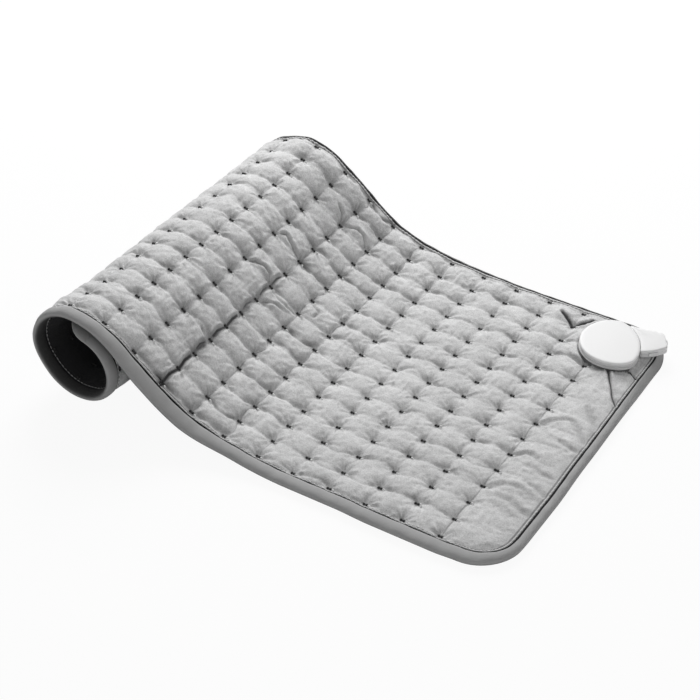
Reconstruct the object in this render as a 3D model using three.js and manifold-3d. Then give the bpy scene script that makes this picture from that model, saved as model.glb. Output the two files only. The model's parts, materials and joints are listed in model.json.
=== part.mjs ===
// Quilted heating pad with its connector and pull-off plug.
// Millimetres. +X points to the connector's end, +Z up, and the pad lies on z = 0.
// The pad is described flat by (s, y, n): s runs from the outer edge at the connector's end,
// y runs across, and n is the height over the middle of the heating wire. fold() lays that
// description along the rolled profile.

import * as THREE from 'three';
import { mergeVertices } from 'three/addons/utils/BufferGeometryUtils.js';
import Module from 'manifold-3d';

const wasm = await Module();
wasm.setup();

// Shared clearances
const fitGap = 0.3;
const cutOverrun = 6;

// Pad outline and quilting
const padLength = 587;
const padWidth = 306;
const cornerRadius = 32;
const tipCornerRadius = 22;
const cornerStepCount = 4;
const rowPitch = 30;
const rowCount = 17;
const firstRowInset = 51;
const columnPitch = 20;
const columnCount = 15;
const flatRowCount = 4;
const looseRowCount = 14;
const looseStepCount = 2;
const tightStepCount = 3;
const tipStepCount = 2;

// Pad layers
const wireDiameter = 1.2;
const feltThickness = 0.4;
const coverAtTuft = 1.1;
const lowerCoverAtTuft = 1;
const topCrown = 3.5;
const bottomCrown = 1.9;
const restDepth = 0.5;

// Shape of a pillow: shares of the crown's full height
const creaseShare = 0.3;
const saddleShare = 0.72;
const marginShare = 0.8;
const pillowPowerShare = 0.75;

// How far the crown stays down inside the edge, and the run over which it rises
const crownInset = 10;
const crownRun = 15;

// Edge binding
const bindingWidth = 7;
const tapeThickness = 1;
const webThickness = 1.2;
const webRound = 0.8;

// Rolled profile: flat run, lift, slope, crest, roll, curl and tuck
const flatRun = 168;
const liftRadius = 255;
const liftSweep = THREE.MathUtils.degToRad(13);
const slopeRadius = 145;
const slopeSweep = THREE.MathUtils.degToRad(25);
const crestRadius = 65;
const crestSweep = THREE.MathUtils.degToRad(41);
const rollRadius = 35;
const rollSweep = THREE.MathUtils.degToRad(199);
const curlRadius = 28.5;
const curlSweep = THREE.MathUtils.degToRad(103);
const tuckRadius = 26.5;
const tuckSweep = THREE.MathUtils.degToRad(41);

// Heating wire
const wireSides = 6;
const wireTurnRadius = 8;
const wireTurnStepCount = 2;
const wireEdgeInset = 24;
const wireRise = 3.4;
const spliceLength = 12;
const spliceDiameter = 1.6;
const steepShare = 0.3;

// Connector: place on the pad, and the way its plug points
const connectorInset = 39;
const connectorFromEdge = 44.5;
const plugTurn = THREE.MathUtils.degToRad(33.5);
const plugOffset = 2;
const roundStepCount = 40;

// Connector base
const flangeRadius = 28.6;
const flangeThickness = 2;
const flangeHeight = 9.3;
const flangeRound = 0.5;
const tubRadius = 17;
const tubWall = 1.4;
const tubFloor = 1.2;
const tubHeight = 5.2;
const postRadius = 1.6;
const postInset = 2.2;

// Connector cap
const capRadius = 27.6;
const capHeight = 3.9;
const capWall = 1.6;
const capRoof = 1.2;
const capRound = 1.4;
const chordBeyondTub = 0.5;
const chordDistance = tubRadius + chordBeyondTub;
const spigotWall = 1.2;

// Clamp plate and the screws that draw the base to it
const clampRadius = 16;
const clampThickness = 1.2;
const clampCover = 0.9;
const screwInset = 4.4;
const screwCircle = tubRadius - tubWall - screwInset;
const screwShank = 1;
const screwHead = 2;
const screwHeadHeight = 1;
const screwCount = 4;
const screwSides = 10;
const headCrownShare = 0.7;

// Circuit board and what it carries
const boardThickness = 1.2;
const boardHeight = 7.9;
const headerLength = 7;
const headerHalfWidth = 7;
const headerStart = -1;
const headerHeight = 3.4;
const pinDiameter = 1;
const pinTail = 2;
const pinPitch = 4.4;
const pinCount = 3;
const pinSetback = 2;
const pinReach = chordDistance - pinSetback;
const pinSides = 8;
const fuseDiameter = 2.6;
const fuseLength = 9;
const fuseInset = 7;
const fuseCapLength = 1.2;

// Plug body
const plugLength = 22.2;
const plugStart = chordDistance + fitGap;
const plugEnd = plugStart + plugLength;
const plugRootHalf = 14;
const plugTipHalf = 8;
const plugShoulder = 6;
const plugBottom = 8;
const plugTop = 14.6;
const plugWall = 1.4;
const plugFloor = 1.4;
const plugRound = 0.8;
const plugTaperPowerShare = 1.5;
const plugStepCount = 8;
const plugTipWall = 4;
const glandBore = 4;
const glandCollar = 6;
const glandLength = 2.2;
const glandSides = 16;

// Plug contacts
const noseToHeader = 1.5;
const noseInPlug = 4.2;
const noseStart = headerStart + headerLength + noseToHeader;
const noseEnd = plugStart + noseInPlug;
const noseHalfWidth = 7;
const noseHeight = 3.4;
const sleeveBore = 1.6;
const sleeveWall = 0.3;
const sleeveLength = 10;

// Plug screws
const plugScrewInset = 8.7;
const plugScrewPlace = plugStart + plugScrewInset;
const plugScrewSide = 4.6;
const plugScrewBoss = 2.3;
const plugScrewShank = 0.8;
const plugScrewHead = 1.5;
const plugScrewHeadHeight = 0.8;
const plugScrewSink = 0.1;

// Release latches
const latchTravel = 1;
const latchArm = 1.1;
const latchBehindNose = 3.5;
const latchButtonInset = 5.7;
const latchButtonLength = 6.5;
const latchTail = 1.5;
const latchArmStart = noseStart + latchBehindNose;
const latchButtonStart = plugStart + latchButtonInset;
const latchButtonEnd = latchButtonStart + latchButtonLength;
const latchArmEnd = latchButtonEnd + latchTail;
const latchHeight = 2.6;
const latchProud = 0.8;

// Levels in the pad, over the wire's middle
const innerTop = wireDiameter / 2 + fitGap;
const tuftTop = innerTop + coverAtTuft;
const feltTop = -wireDiameter / 2 - fitGap;
const feltBottom = feltTop - feltThickness;
const innerBottom = feltBottom - fitGap;
const tuftBottom = innerBottom - lowerCoverAtTuft;
const wireHeight = bottomCrown - tuftBottom - restDepth;
const rollRestHeight = tuftTop + topCrown - restDepth;
const edgeInset = webThickness + fitGap;
const foldStation = firstRowInset + flatRowCount * rowPitch;
const lastRow = firstRowInset + (rowCount - 1) * rowPitch;
const halfWidth = padWidth / 2;

// Colours as seen on the object
const finish = {
  plush: { color: 0xb9babc, roughness: 0.95, metalness: 0 },
  tape: { color: 0x7b7c7e, roughness: 0.8, metalness: 0 },
  felt: { color: 0xe8e6df, roughness: 0.95, metalness: 0 },
  silicone: { color: 0xd9d4c4, roughness: 0.5, metalness: 0 },
  whiteShell: { color: 0xf0f0f0, roughness: 0.4, metalness: 0 },
  plugShell: { color: 0xe6e6e6, roughness: 0.45, metalness: 0 },
  clamp: { color: 0xd8d8d8, roughness: 0.5, metalness: 0 },
  board: { color: 0x2f6b3c, roughness: 0.5, metalness: 0 },
  contact: { color: 0xcaa75a, roughness: 0.3, metalness: 1 },
  steel: { color: 0xb5b8bb, roughness: 0.3, metalness: 1 },
  header: { color: 0x2b2b2d, roughness: 0.6, metalness: 0 },
};

// The middle line of the pad as runs and bends; a bend to the underside has a positive sweep.
function profilePieces(slopeRun, flapRun) {
  return [
    { run: flatRun },
    { radius: liftRadius, sweep: -liftSweep },
    { radius: slopeRadius, sweep: -slopeSweep },
    { run: slopeRun },
    { radius: crestRadius, sweep: crestSweep },
    { radius: rollRadius, sweep: rollSweep },
    { radius: curlRadius, sweep: curlSweep },
    { radius: tuckRadius, sweep: tuckSweep },
    { run: flapRun },
  ];
}

function pieceLength(piece) {
  return piece.run ?? piece.radius * Math.abs(piece.sweep);
}

// Moves a state (x, z, heading) a share of the way along one run or bend.
function advance(state, piece, share) {
  if (piece.run !== undefined) {
    return {
      x: state.x + piece.run * share * Math.cos(state.heading),
      z: state.z + piece.run * share * Math.sin(state.heading),
      heading: state.heading,
    };
  }
  const heading = state.heading + piece.sweep * share;
  const side = piece.radius * Math.sign(piece.sweep);
  return {
    x: state.x + side * (Math.sin(heading) - Math.sin(state.heading)),
    z: state.z - side * (Math.cos(heading) - Math.cos(state.heading)),
    heading,
  };
}

const profileStart = { x: 0, z: wireHeight, heading: Math.PI };

// Height of the roll's lowest point for a slope of no length: the bend to the underside
// reaches it where it heads along +X.
function lowestOfRoll() {
  const pieces = profilePieces(0, 0);
  let state = profileStart;
  for (const piece of pieces) {
    const next = advance(state, piece, 1);
    if (piece.radius && state.heading < 2 * Math.PI && next.heading >= 2 * Math.PI) {
      return advance(state, piece, (2 * Math.PI - state.heading) / piece.sweep).z;
    }
    state = next;
  }
  return state.z;
}

// The slope is as long as the roll needs to stand on the same surface as the flat part, and
// the tucked-in flap takes what is left of the pad.
const slopeRun = (rollRestHeight - lowestOfRoll()) / Math.sin(liftSweep + slopeSweep);
const bentLength = profilePieces(slopeRun, 0).reduce((sum, piece) => sum + pieceLength(piece), 0);
const profile = profilePieces(slopeRun, padLength - bentLength);

function profileAt(s) {
  let state = profileStart;
  let left = s;
  for (const piece of profile) {
    const length = pieceLength(piece);
    if (left <= length) {
      return advance(state, piece, length > 0 ? left / length : 0);
    }
    state = advance(state, piece, 1);
    left -= length;
  }
  return state;
}

// Stations along the pad that every layer shares, so that the layers stay parallel.
function cornerInsets(radius) {
  const insets = [];
  for (let step = 0; step <= cornerStepCount; step += 1) {
    const angle = (Math.PI / 2) * (step / cornerStepCount);
    insets.push(edgeInset + (radius - edgeInset) * (1 - Math.cos(angle)));
  }
  return insets;
}

function padStations() {
  const stations = cornerInsets(cornerRadius);
  stations.push((cornerRadius + firstRowInset) / 2);
  for (let row = 0; row < rowCount - 1; row += 1) {
    const stepCount = row < looseRowCount ? looseStepCount : tightStepCount;
    for (let step = 0; step < stepCount; step += 1) {
      stations.push(firstRowInset + (row + step / stepCount) * rowPitch);
    }
  }
  const tipRun = padLength - tipCornerRadius - lastRow;
  for (let step = 0; step < tipStepCount; step += 1) {
    stations.push(lastRow + (step / tipStepCount) * tipRun);
  }
  for (const inset of cornerInsets(tipCornerRadius).reverse()) {
    stations.push(padLength - inset);
  }
  return stations;
}

const stations = padStations();

// Maps (s, y, n) onto the profile, with straight facets between the shared stations.
function fold(s, y, n) {
  const last = stations.length - 1;
  let index = stations.findIndex((station) => station > s) - 1;
  if (index < -1 || s >= stations[last]) {
    index = last - 1;
  }
  index = Math.max(0, index);
  const share = (s - stations[index]) / (stations[index + 1] - stations[index]);
  const ends = [stations[index], stations[index + 1]].map((station) => {
    const state = profileAt(station);
    return new THREE.Vector3(
      state.x + n * Math.sin(state.heading),
      y,
      state.z - n * Math.cos(state.heading),
    );
  });
  return ends[0].lerp(ends[1], share);
}

// A closed body through rings of points that all have the same count. The faces that fill its
// two ends are given as triples of places in a ring.
function loft(rings, startFaces, endFaces) {
  const positions = rings.flat().flatMap((point) => [point.x, point.y, point.z]);
  const count = rings[0].length;
  const indices = [];
  for (let ring = 0; ring < rings.length - 1; ring += 1) {
    for (let side = 0; side < count; side += 1) {
      const a = ring * count + side;
      const b = ring * count + ((side + 1) % count);
      indices.push(a, b, b + count, a, b + count, a + count);
    }
  }
  const endStart = (rings.length - 1) * count;
  startFaces.forEach(([a, b, c]) => indices.push(a, c, b));
  endFaces.forEach(([a, b, c]) => indices.push(endStart + a, endStart + b, endStart + c));
  const geometry = new THREE.BufferGeometry();
  geometry.setAttribute('position', new THREE.Float32BufferAttribute(positions, 3));
  geometry.setIndex(indices);
  return facingOut(geometry);
}

// Faces of a section without straight runs of three points, turned the way the points go.
function sectionFaces(points) {
  const outline = points.map(([a, b]) => new THREE.Vector2(a, b));
  const faces = THREE.ShapeUtils.triangulateShape(outline, []);
  return THREE.ShapeUtils.isClockWise(outline) ? faces.map(([a, b, c]) => [a, c, b]) : faces;
}

// Turns a closed body's faces outwards if its volume comes out negative.
function facingOut(geometry) {
  const position = geometry.attributes.position;
  const index = geometry.index.array;
  const corners = [new THREE.Vector3(), new THREE.Vector3(), new THREE.Vector3()];
  let volume = 0;
  for (let face = 0; face < index.length; face += 3) {
    corners.forEach((corner, place) => corner.fromBufferAttribute(position, index[face + place]));
    volume += corners[0].dot(corners[1].clone().cross(corners[2]));
  }
  if (volume < 0) {
    for (let face = 0; face < index.length; face += 3) {
      [index[face + 1], index[face + 2]] = [index[face + 2], index[face + 1]];
    }
  }
  return geometry;
}

// A closed geometry as a solid for joins and cuts, and a solid back as a geometry.
function solid(geometry) {
  const bare = new THREE.BufferGeometry();
  bare.setAttribute('position', geometry.attributes.position);
  bare.setIndex(geometry.index);
  const merged = mergeVertices(bare);
  const kept = [];
  const faces = merged.index.array;
  for (let face = 0; face < faces.length; face += 3) {
    const [a, b, c] = [faces[face], faces[face + 1], faces[face + 2]];
    if (a !== b && b !== c && c !== a) {
      kept.push(a, b, c);
    }
  }
  return new wasm.Manifold(new wasm.Mesh({
    numProp: 3,
    vertProperties: Float32Array.from(merged.attributes.position.array),
    triVerts: Uint32Array.from(kept),
  }));
}

function geometryOf(body) {
  const mesh = body.getMesh();
  const indexed = new THREE.BufferGeometry();
  indexed.setAttribute('position', new THREE.BufferAttribute(mesh.vertProperties, 3));
  indexed.setIndex(new THREE.BufferAttribute(mesh.triVerts, 1));
  const geometry = indexed.toNonIndexed();
  geometry.computeVertexNormals();
  return geometry;
}

function joined(...bodies) {
  return bodies.reduce((whole, body) => whole.add(body));
}

// Box between two corners, upright cylinder and cylinder along X, as solids.
function block(low, high) {
  const size = new THREE.Vector3().subVectors(high, low);
  const box = new THREE.BoxGeometry(size.x, size.y, size.z);
  const middle = new THREE.Vector3().addVectors(low, high).multiplyScalar(0.5);
  return solid(box.translate(middle.x, middle.y, middle.z));
}

function upright(radius, low, high, x, y, sides) {
  const round = new THREE.CylinderGeometry(radius, radius, high - low, sides);
  return solid(round.rotateX(Math.PI / 2).translate(x, y, (low + high) / 2));
}

function lengthwise(radius, start, end, y, z, sides) {
  const round = new THREE.CylinderGeometry(radius, radius, end - start, sides);
  return solid(round.rotateZ(-Math.PI / 2).translate((start + end) / 2, y, z));
}

// A turned body from (radius, height) points that start and end on the axis or close.
function turned(points, sides) {
  const outline = points.map(([radius, height]) => new THREE.Vector2(radius, height));
  const lathe = new THREE.LatheGeometry(outline, sides).rotateX(Math.PI / 2);
  return solid(facingOut(mergeVertices(bareOf(lathe))));
}

function bareOf(geometry) {
  const bare = new THREE.BufferGeometry();
  bare.setAttribute('position', geometry.attributes.position);
  bare.setIndex(geometry.index);
  return bare;
}

// Radius of the outline's corners at the end of the pad that station s is nearer to.
function cornerNear(s) {
  return s < padLength / 2 ? cornerRadius : tipCornerRadius;
}

// Half width of the rounded pad outline, drawn in by an inset, at station s.
function outlineHalf(s, inset) {
  const radius = cornerNear(s) - inset;
  const fromEnd = Math.min(s, padLength - s) - inset;
  const rise = THREE.MathUtils.clamp(radius - fromEnd, 0, radius);
  return halfWidth - inset - radius + Math.sqrt(radius * radius - rise * rise);
}

// Distance from (s, y) to the rounded outline, positive inside it.
function distanceInside(s, y) {
  const radius = cornerNear(s);
  const cornerX = Math.abs(s - padLength / 2) - padLength / 2 + radius;
  const cornerY = Math.abs(y) - halfWidth + radius;
  const outside = Math.hypot(Math.max(cornerX, 0), Math.max(cornerY, 0));
  return radius - outside - Math.min(Math.max(cornerX, cornerY), 0);
}

// Place of the connector's middle in the flat pad.
const connectorY = halfWidth - connectorFromEdge;

// Height of the quilting as a share of the crown: 0 at a tuft, 1 on top of a pillow. Between
// two tufts of a row lies a crease, between two rows a soft saddle.
function quiltShare(s, y) {
  const row = (s - firstRowInset) / rowPitch;
  const column = y / columnPitch;
  const beyondRows = Math.max(-row, row - rowCount + 1, 0) * rowPitch;
  const marginRun = firstRowInset - bindingWidth;
  const margin = Math.min(beyondRows / marginRun, 1);
  const across = Math.abs(Math.sin(Math.PI * column));
  const columnPull = across + (1 - across) * Math.min(2 * margin, 1);
  const between = margin > 0 ? Math.sin(Math.PI * margin) : Math.abs(Math.sin(Math.PI * row));
  const along = between ** pillowPowerShare;
  const pillow = along * (saddleShare + (1 - saddleShare) * columnPull)
    + (1 - along) * creaseShare * across * (margin > 0 ? 1 - margin : 1);
  const sewn = margin > 0 ? pillow * (marginShare + (1 - marginShare) * (1 - margin)) : pillow;
  const fromConnector = Math.hypot(s - connectorInset, y - connectorY);
  const clampEnd = flangeRadius + columnPitch / 2;
  const clamped = 1 - THREE.MathUtils.smoothstep(fromConnector, flangeRadius, clampEnd);
  const rise = THREE.MathUtils.smoothstep(distanceInside(s, y), crownInset, crownInset + crownRun);
  return Math.max(sewn, clamped) * rise;
}

// Places across the pad: the covers' edge, the seam, then every tuft column and half column.
function crossPlaces(s) {
  const half = outlineHalf(s, edgeInset);
  const places = [edgeInset - halfWidth, bindingWidth - halfWidth];
  for (let step = 0; step <= 2 * (columnCount - 1); step += 1) {
    places.push((step / 2 - (columnCount - 1) / 2) * columnPitch);
  }
  places.push(halfWidth - bindingWidth, halfWidth - edgeInset);
  return places.map((place) => place * (half / (halfWidth - edgeInset)));
}

// Stations from one end of a piece to the other, keeping those that lie between.
function stationsBetween(start, end) {
  const between = stations.filter((station) => station > start + fitGap && station < end - fitGap);
  return [start, ...between, end];
}

// Faces between a cover's quilted edge line, from left to right, and its two inner corners:
// first the humps that stand over the line, then fans from both corners to its lowest point.
function coverEndFaces(across, heights) {
  const rightCorner = across.length;
  const leftCorner = across.length + 1;
  const faces = [];
  const valley = [];
  across.forEach((y, place) => {
    while (valley.length > 1) {
      const [a, b] = valley.slice(-2);
      const rise = (heights[b] - heights[a]) * (y - across[a]);
      const line = (heights[place] - heights[a]) * (across[b] - across[a]);
      if (rise <= line) {
        break;
      }
      faces.push([a, b, place]);
      valley.pop();
    }
    valley.push(place);
  });
  const lowest = valley.reduce((best, place) => (heights[place] < heights[best] ? place : best));
  for (let index = 1; index < valley.length; index += 1) {
    const corner = valley[index] <= lowest ? leftCorner : rightCorner;
    faces.push([valley[index - 1], valley[index], corner]);
  }
  faces.push([lowest, rightCorner, leftCorner]);
  return faces;
}

// A cover: a quilted outer face and a smooth inner face.
function coverLoft(start, end, tuftLevel, crown, innerLevel) {
  const places = stationsBetween(start, end);
  const rings = places.map((s) => {
    const across = crossPlaces(s);
    const outer = across.map((y) => fold(s, y, tuftLevel + crown * quiltShare(s, y)));
    const inner = [across.at(-1), across[0]].map((y) => fold(s, y, innerLevel));
    return [...outer, ...inner];
  });
  const [startFaces, endFaces] = [start, end].map((s) => {
    const across = crossPlaces(s);
    return coverEndFaces(across, across.map((y) => quiltShare(s, y)));
  });
  return loft(rings, startFaces, endFaces);
}

function sheetLoft(start, end, top, bottom) {
  const corners = [[-1, top], [1, top], [1, bottom], [-1, bottom]];
  const rings = stationsBetween(start, end).map((s) => {
    const half = outlineHalf(s, bindingWidth + fitGap);
    return corners.map(([side, n]) => fold(s, side * half, n));
  });
  const faces = sectionFaces(corners);
  return loft(rings, faces, faces);
}

// The binding's section: (distance in from the outer edge, n), open towards the pad.
function bindingSection() {
  const legTop = tuftTop + fitGap;
  const legBottom = tuftBottom - fitGap;
  return [
    [webRound, legTop + tapeThickness],
    [bindingWidth, legTop + tapeThickness],
    [bindingWidth, legTop],
    [webThickness, legTop],
    [webThickness, legBottom],
    [bindingWidth, legBottom],
    [bindingWidth, legBottom - tapeThickness],
    [webRound, legBottom - tapeThickness],
    [0, legBottom - tapeThickness + webRound],
    [0, legTop + tapeThickness - webRound],
  ];
}

// Rings of the binding: along one long side, round both corners of an end and back.
function bindingLoft(near, far) {
  const forward = near > far;
  const endEdge = forward ? 0 : padLength;
  const inward = forward ? 1 : -1;
  const radius = cornerNear(endEdge);
  const section = bindingSection();
  const places = [];
  const low = Math.min(near, endEdge + inward * radius);
  const high = Math.max(near, endEdge + inward * radius);
  const sides = stationsBetween(low, high);
  const outward = forward ? sides.reverse() : sides;
  outward.forEach((s) => places.push({ s, y: -halfWidth, alongS: 0, alongY: 1 }));
  for (const side of [-1, 1]) {
    for (let step = 0; step <= cornerStepCount; step += 1) {
      const turn = side < 0 ? step / cornerStepCount : 1 - step / cornerStepCount;
      const angle = (Math.PI / 2) * turn;
      if ((side < 0 && step === 0) || (side > 0 && step === cornerStepCount)) {
        continue;
      }
      places.push({
        s: endEdge + inward * radius * (1 - Math.sin(angle)),
        y: side * (halfWidth - radius * (1 - Math.cos(angle))),
        alongS: inward * Math.sin(angle),
        alongY: -side * Math.cos(angle),
      });
    }
  }
  [...outward].reverse().forEach((s) => places.push({ s, y: halfWidth, alongS: 0, alongY: -1 }));
  const rings = places.map((place) => section.map(([inset, n]) => fold(
    place.s + place.alongS * inset,
    place.y + place.alongY * inset,
    n,
  )));
  const faces = sectionFaces(section);
  return loft(rings, faces, faces);
}

// The wire's route in (s, y, n): runs across the pad, half way between rows of tufts, with
// rounded turns. Corners are rounded by quarter arcs.
function wireCorners() {
  const runHalf = halfWidth - wireEdgeInset;
  const riser = connectorInset + tubRadius / 2;
  const corners = [
    new THREE.Vector3(riser, connectorY, wireRise),
    new THREE.Vector3(riser, connectorY, 0),
  ];
  let side = 1;
  for (let row = 0; row < rowCount - 1; row += 1) {
    const s = firstRowInset + (row + 1 / 2) * rowPitch;
    const from = row === 0 ? connectorY : side * runHalf;
    corners.push(new THREE.Vector3(s, from, 0), new THREE.Vector3(s, -side * runHalf, 0));
    side = -side;
  }
  return corners;
}

function roundedRoute(corners) {
  const route = [corners[0]];
  for (let index = 1; index < corners.length - 1; index += 1) {
    const corner = corners[index];
    const back = new THREE.Vector3().subVectors(corners[index - 1], corner);
    const ahead = new THREE.Vector3().subVectors(corners[index + 1], corner);
    const reach = Math.min(wireTurnRadius, back.length() / 2, ahead.length() / 2);
    const curve = new THREE.QuadraticBezierCurve3(
      corner.clone().addScaledVector(back.normalize(), reach),
      corner,
      corner.clone().addScaledVector(ahead.normalize(), reach),
    );
    route.push(...curve.getPoints(wireTurnStepCount));
  }
  route.push(corners.at(-1));
  return route;
}

// Adds a point wherever the route passes a shared station.
function withStations(route) {
  const full = [route[0]];
  for (let index = 1; index < route.length; index += 1) {
    const [a, b] = [route[index - 1], route[index]];
    const passed = stations.filter((s) => (s - a.x) * (s - b.x) < 0
      && Math.abs(s - a.x) > fitGap && Math.abs(s - b.x) > fitGap);
    passed.sort((p, q) => Math.abs(p - a.x) - Math.abs(q - a.x));
    passed.forEach((s) => full.push(a.clone().lerp(b, (s - a.x) / (b.x - a.x))));
    full.push(b);
  }
  return full.filter((point, index) => index === 0 || point.distanceTo(full[index - 1]) > fitGap / 2);
}

// Splits the route where it passes the fold, with a gap between the two stretches.
function splitRoute(route) {
  const index = route.findIndex((point) => point.x > foldStation + fitGap / 4);
  const before = route[index - 1];
  const after = route[index];
  const direction = new THREE.Vector3().subVectors(after, before).normalize();
  const crossing = before.clone().addScaledVector(direction, (foldStation - before.x) / direction.x);
  const near = route.slice(0, index).filter((point) => point.distanceTo(crossing) > fitGap);
  const rest = route.slice(index).filter((point) => point.distanceTo(crossing) > fitGap);
  return [
    [...near, crossing.clone().addScaledVector(direction, -fitGap / 2)],
    [crossing.clone().addScaledVector(direction, fitGap / 2), ...rest],
  ];
}

// A tube along a route in (s, y, n), square to it, laid onto the profile. Where the side
// direction comes out nearly along the route, a new one is taken.
function tubeLoft(route, diameter) {
  let across = new THREE.Vector3(0, 1, 0);
  const rings = route.map((point, index) => {
    const before = route[Math.max(index - 1, 0)];
    const after = route[Math.min(index + 1, route.length - 1)];
    const tangent = new THREE.Vector3().subVectors(after, before).normalize();
    across.addScaledVector(tangent, -across.dot(tangent));
    if (across.length() < steepShare) {
      across = new THREE.Vector3(1, 0, 0).addScaledVector(tangent, -tangent.x);
    }
    across.normalize();
    const up = new THREE.Vector3().crossVectors(tangent, across);
    const ring = [];
    for (let side = 0; side < wireSides; side += 1) {
      const angle = (2 * Math.PI * side) / wireSides;
      const spoke = point.clone()
        .addScaledVector(across, (diameter / 2) * Math.cos(angle))
        .addScaledVector(up, (diameter / 2) * Math.sin(angle));
      ring.push(fold(spoke.x, spoke.y, spoke.z));
    }
    return ring;
  });
  const faces = sectionFaces(Array.from({ length: wireSides }, (unused, side) => {
    const angle = (2 * Math.PI * side) / wireSides;
    return [Math.cos(angle), Math.sin(angle)];
  }));
  return loft(rings, faces, faces);
}

// Frame of the connector: its middle, turned so that local X is the plug's way out.
const connectorAt = fold(connectorInset, connectorY, 0);

function inPad(body) {
  const turn = THREE.MathUtils.radToDeg(plugTurn);
  return body.rotate([0, 0, turn]).translate([connectorAt.x, connectorAt.y, 0]);
}

// Everything of the pad below the surface it lies on.
function belowRest() {
  const reach = padLength;
  return block(
    new THREE.Vector3(-reach, -reach, -cutOverrun),
    new THREE.Vector3(reach, reach, 0),
  );
}

// Half width of the plug's outline: straight at the shoulder, then drawn in to the tip.
function plugHalf(x, inset) {
  const taperStart = plugStart + plugShoulder;
  const share = THREE.MathUtils.clamp((x - taperStart) / (plugEnd - taperStart), 0, 1);
  return plugRootHalf - (plugRootHalf - plugTipHalf) * share ** plugTaperPowerShare - inset;
}

function plugOutline(start, end, inset) {
  const upper = [];
  for (let step = 0; step <= plugStepCount; step += 1) {
    const x = start + (end - start) * (step / plugStepCount);
    upper.push(new THREE.Vector2(x, plugHalf(x, inset)));
  }
  const lower = upper.map((point) => new THREE.Vector2(point.x, -point.y)).reverse();
  return new THREE.Shape([...lower, ...upper].reverse());
}

function plugPrism(start, end, inset, low, high) {
  const prism = new THREE.ExtrudeGeometry(plugOutline(start, end, inset), {
    depth: high - low,
    bevelEnabled: false,
  });
  return solid(prism.translate(0, plugOffset, low));
}

// The plug's outer body with rounded top and bottom edges.
function plugBody() {
  const body = new THREE.ExtrudeGeometry(
    plugOutline(plugStart + plugRound, plugEnd - plugRound, plugRound),
    {
      depth: plugTop - plugBottom - 2 * plugRound,
      bevelEnabled: true,
      bevelThickness: plugRound,
      bevelSize: plugRound,
      bevelSegments: 2,
    },
  );
  return solid(body.translate(0, plugOffset, plugBottom + plugRound));
}

const plugMiddle = (plugBottom + plugTop) / 2;
const cavityLow = plugBottom + plugFloor;
const cavityHigh = cavityLow + noseHeight + 2 * fitGap;
const armOuter = noseHalfWidth + fitGap + latchTravel + latchArm;
const mouthHalf = armOuter + fitGap;

function plugBlock(x0, x1, half, z0, z1) {
  return block(
    new THREE.Vector3(x0, plugOffset - half, z0),
    new THREE.Vector3(x1, plugOffset + half, z1),
  );
}

// The socket's mouth, cut through the cap's chord wall and the base's rim.
function socketMouth() {
  const start = headerStart + headerLength;
  return plugBlock(start, chordDistance + cutOverrun, mouthHalf, cavityLow, cavityHigh);
}

function pinPlaces() {
  return Array.from({ length: pinCount }, (unused, index) => (
    plugOffset + (index - (pinCount - 1) / 2) * pinPitch
  ));
}

function screwPlaces() {
  return Array.from({ length: screwCount }, (unused, index) => {
    const angle = ((index + 1 / 2) / screwCount) * 2 * Math.PI;
    return [screwCircle * Math.cos(angle), screwCircle * Math.sin(angle)];
  });
}

// Part of the connector that lies beyond its chord.
function beyondChord(low) {
  return block(
    new THREE.Vector3(chordDistance, -2 * flangeRadius, low),
    new THREE.Vector3(2 * flangeRadius, 2 * flangeRadius, plugTop + cutOverrun),
  );
}

function connectorBase() {
  const top = flangeHeight + flangeThickness;
  const inner = tubRadius - tubWall;
  let base = turned([
    [0, tubHeight],
    [tubRadius, tubHeight],
    [tubRadius, flangeHeight],
    [flangeRadius - flangeRound, flangeHeight],
    [flangeRadius, flangeHeight + flangeRound],
    [flangeRadius, top - flangeRound],
    [flangeRadius - flangeRound, top],
    [inner, top],
    [inner, tubHeight + tubFloor],
    [0, tubHeight + tubFloor],
  ], roundStepCount);
  const postCircle = inner - postInset;
  const postTop = boardHeight - fitGap;
  for (let index = 0; index < screwCount; index += 1) {
    const angle = (index / screwCount) * 2 * Math.PI;
    base = base.add(upright(
      postRadius,
      tubHeight + tubFloor / 2,
      postTop,
      postCircle * Math.cos(angle),
      postCircle * Math.sin(angle),
      screwSides,
    ));
  }
  for (const [x, y] of screwPlaces()) {
    const hole = upright(screwShank + fitGap, tubHeight - cutOverrun, boardHeight, x, y, screwSides);
    base = base.subtract(hole);
  }
  const riser = new THREE.Vector2(-tubRadius / 2, 0).rotateAround(new THREE.Vector2(), -plugTurn);
  const riserHole = upright(
    wireDiameter,
    tubHeight - cutOverrun,
    boardHeight,
    riser.x,
    riser.y,
    screwSides,
  );
  base = base.subtract(riserHole);
  return base.subtract(beyondChord(plugBottom - fitGap)).subtract(socketMouth());
}

function connectorCap() {
  const low = flangeHeight + flangeThickness + fitGap;
  const high = low + capHeight;
  const spigotOuter = tubRadius - tubWall - fitGap;
  const spigotInner = spigotOuter - spigotWall;
  const spigotLow = boardHeight + boardThickness + fitGap;
  const roof = high - capRoof;
  const shell = turned([
    [0, roof],
    [spigotInner, roof],
    [spigotInner, spigotLow],
    [spigotOuter, spigotLow],
    [spigotOuter, roof],
    [capRadius - capWall, roof],
    [capRadius - capWall, low],
    [capRadius, low],
    [capRadius, high - capRound],
    [capRadius - capRound / 3, high - capRound / 3],
    [capRadius - capRound, high],
    [0, high],
  ], roundStepCount);
  const wall = block(
    new THREE.Vector3(chordDistance - capWall, -capRadius + capWall, low),
    new THREE.Vector3(chordDistance, capRadius - capWall, high - capRoof / 2),
  );
  const round = turned([
    [0, low],
    [capRadius - capWall / 2, low],
    [capRadius - capWall / 2, roof + capRoof / 2],
    [0, roof + capRoof / 2],
  ], roundStepCount);
  return shell.add(wall.intersect(round)).subtract(beyondChord(-cutOverrun)).subtract(socketMouth());
}

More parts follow.
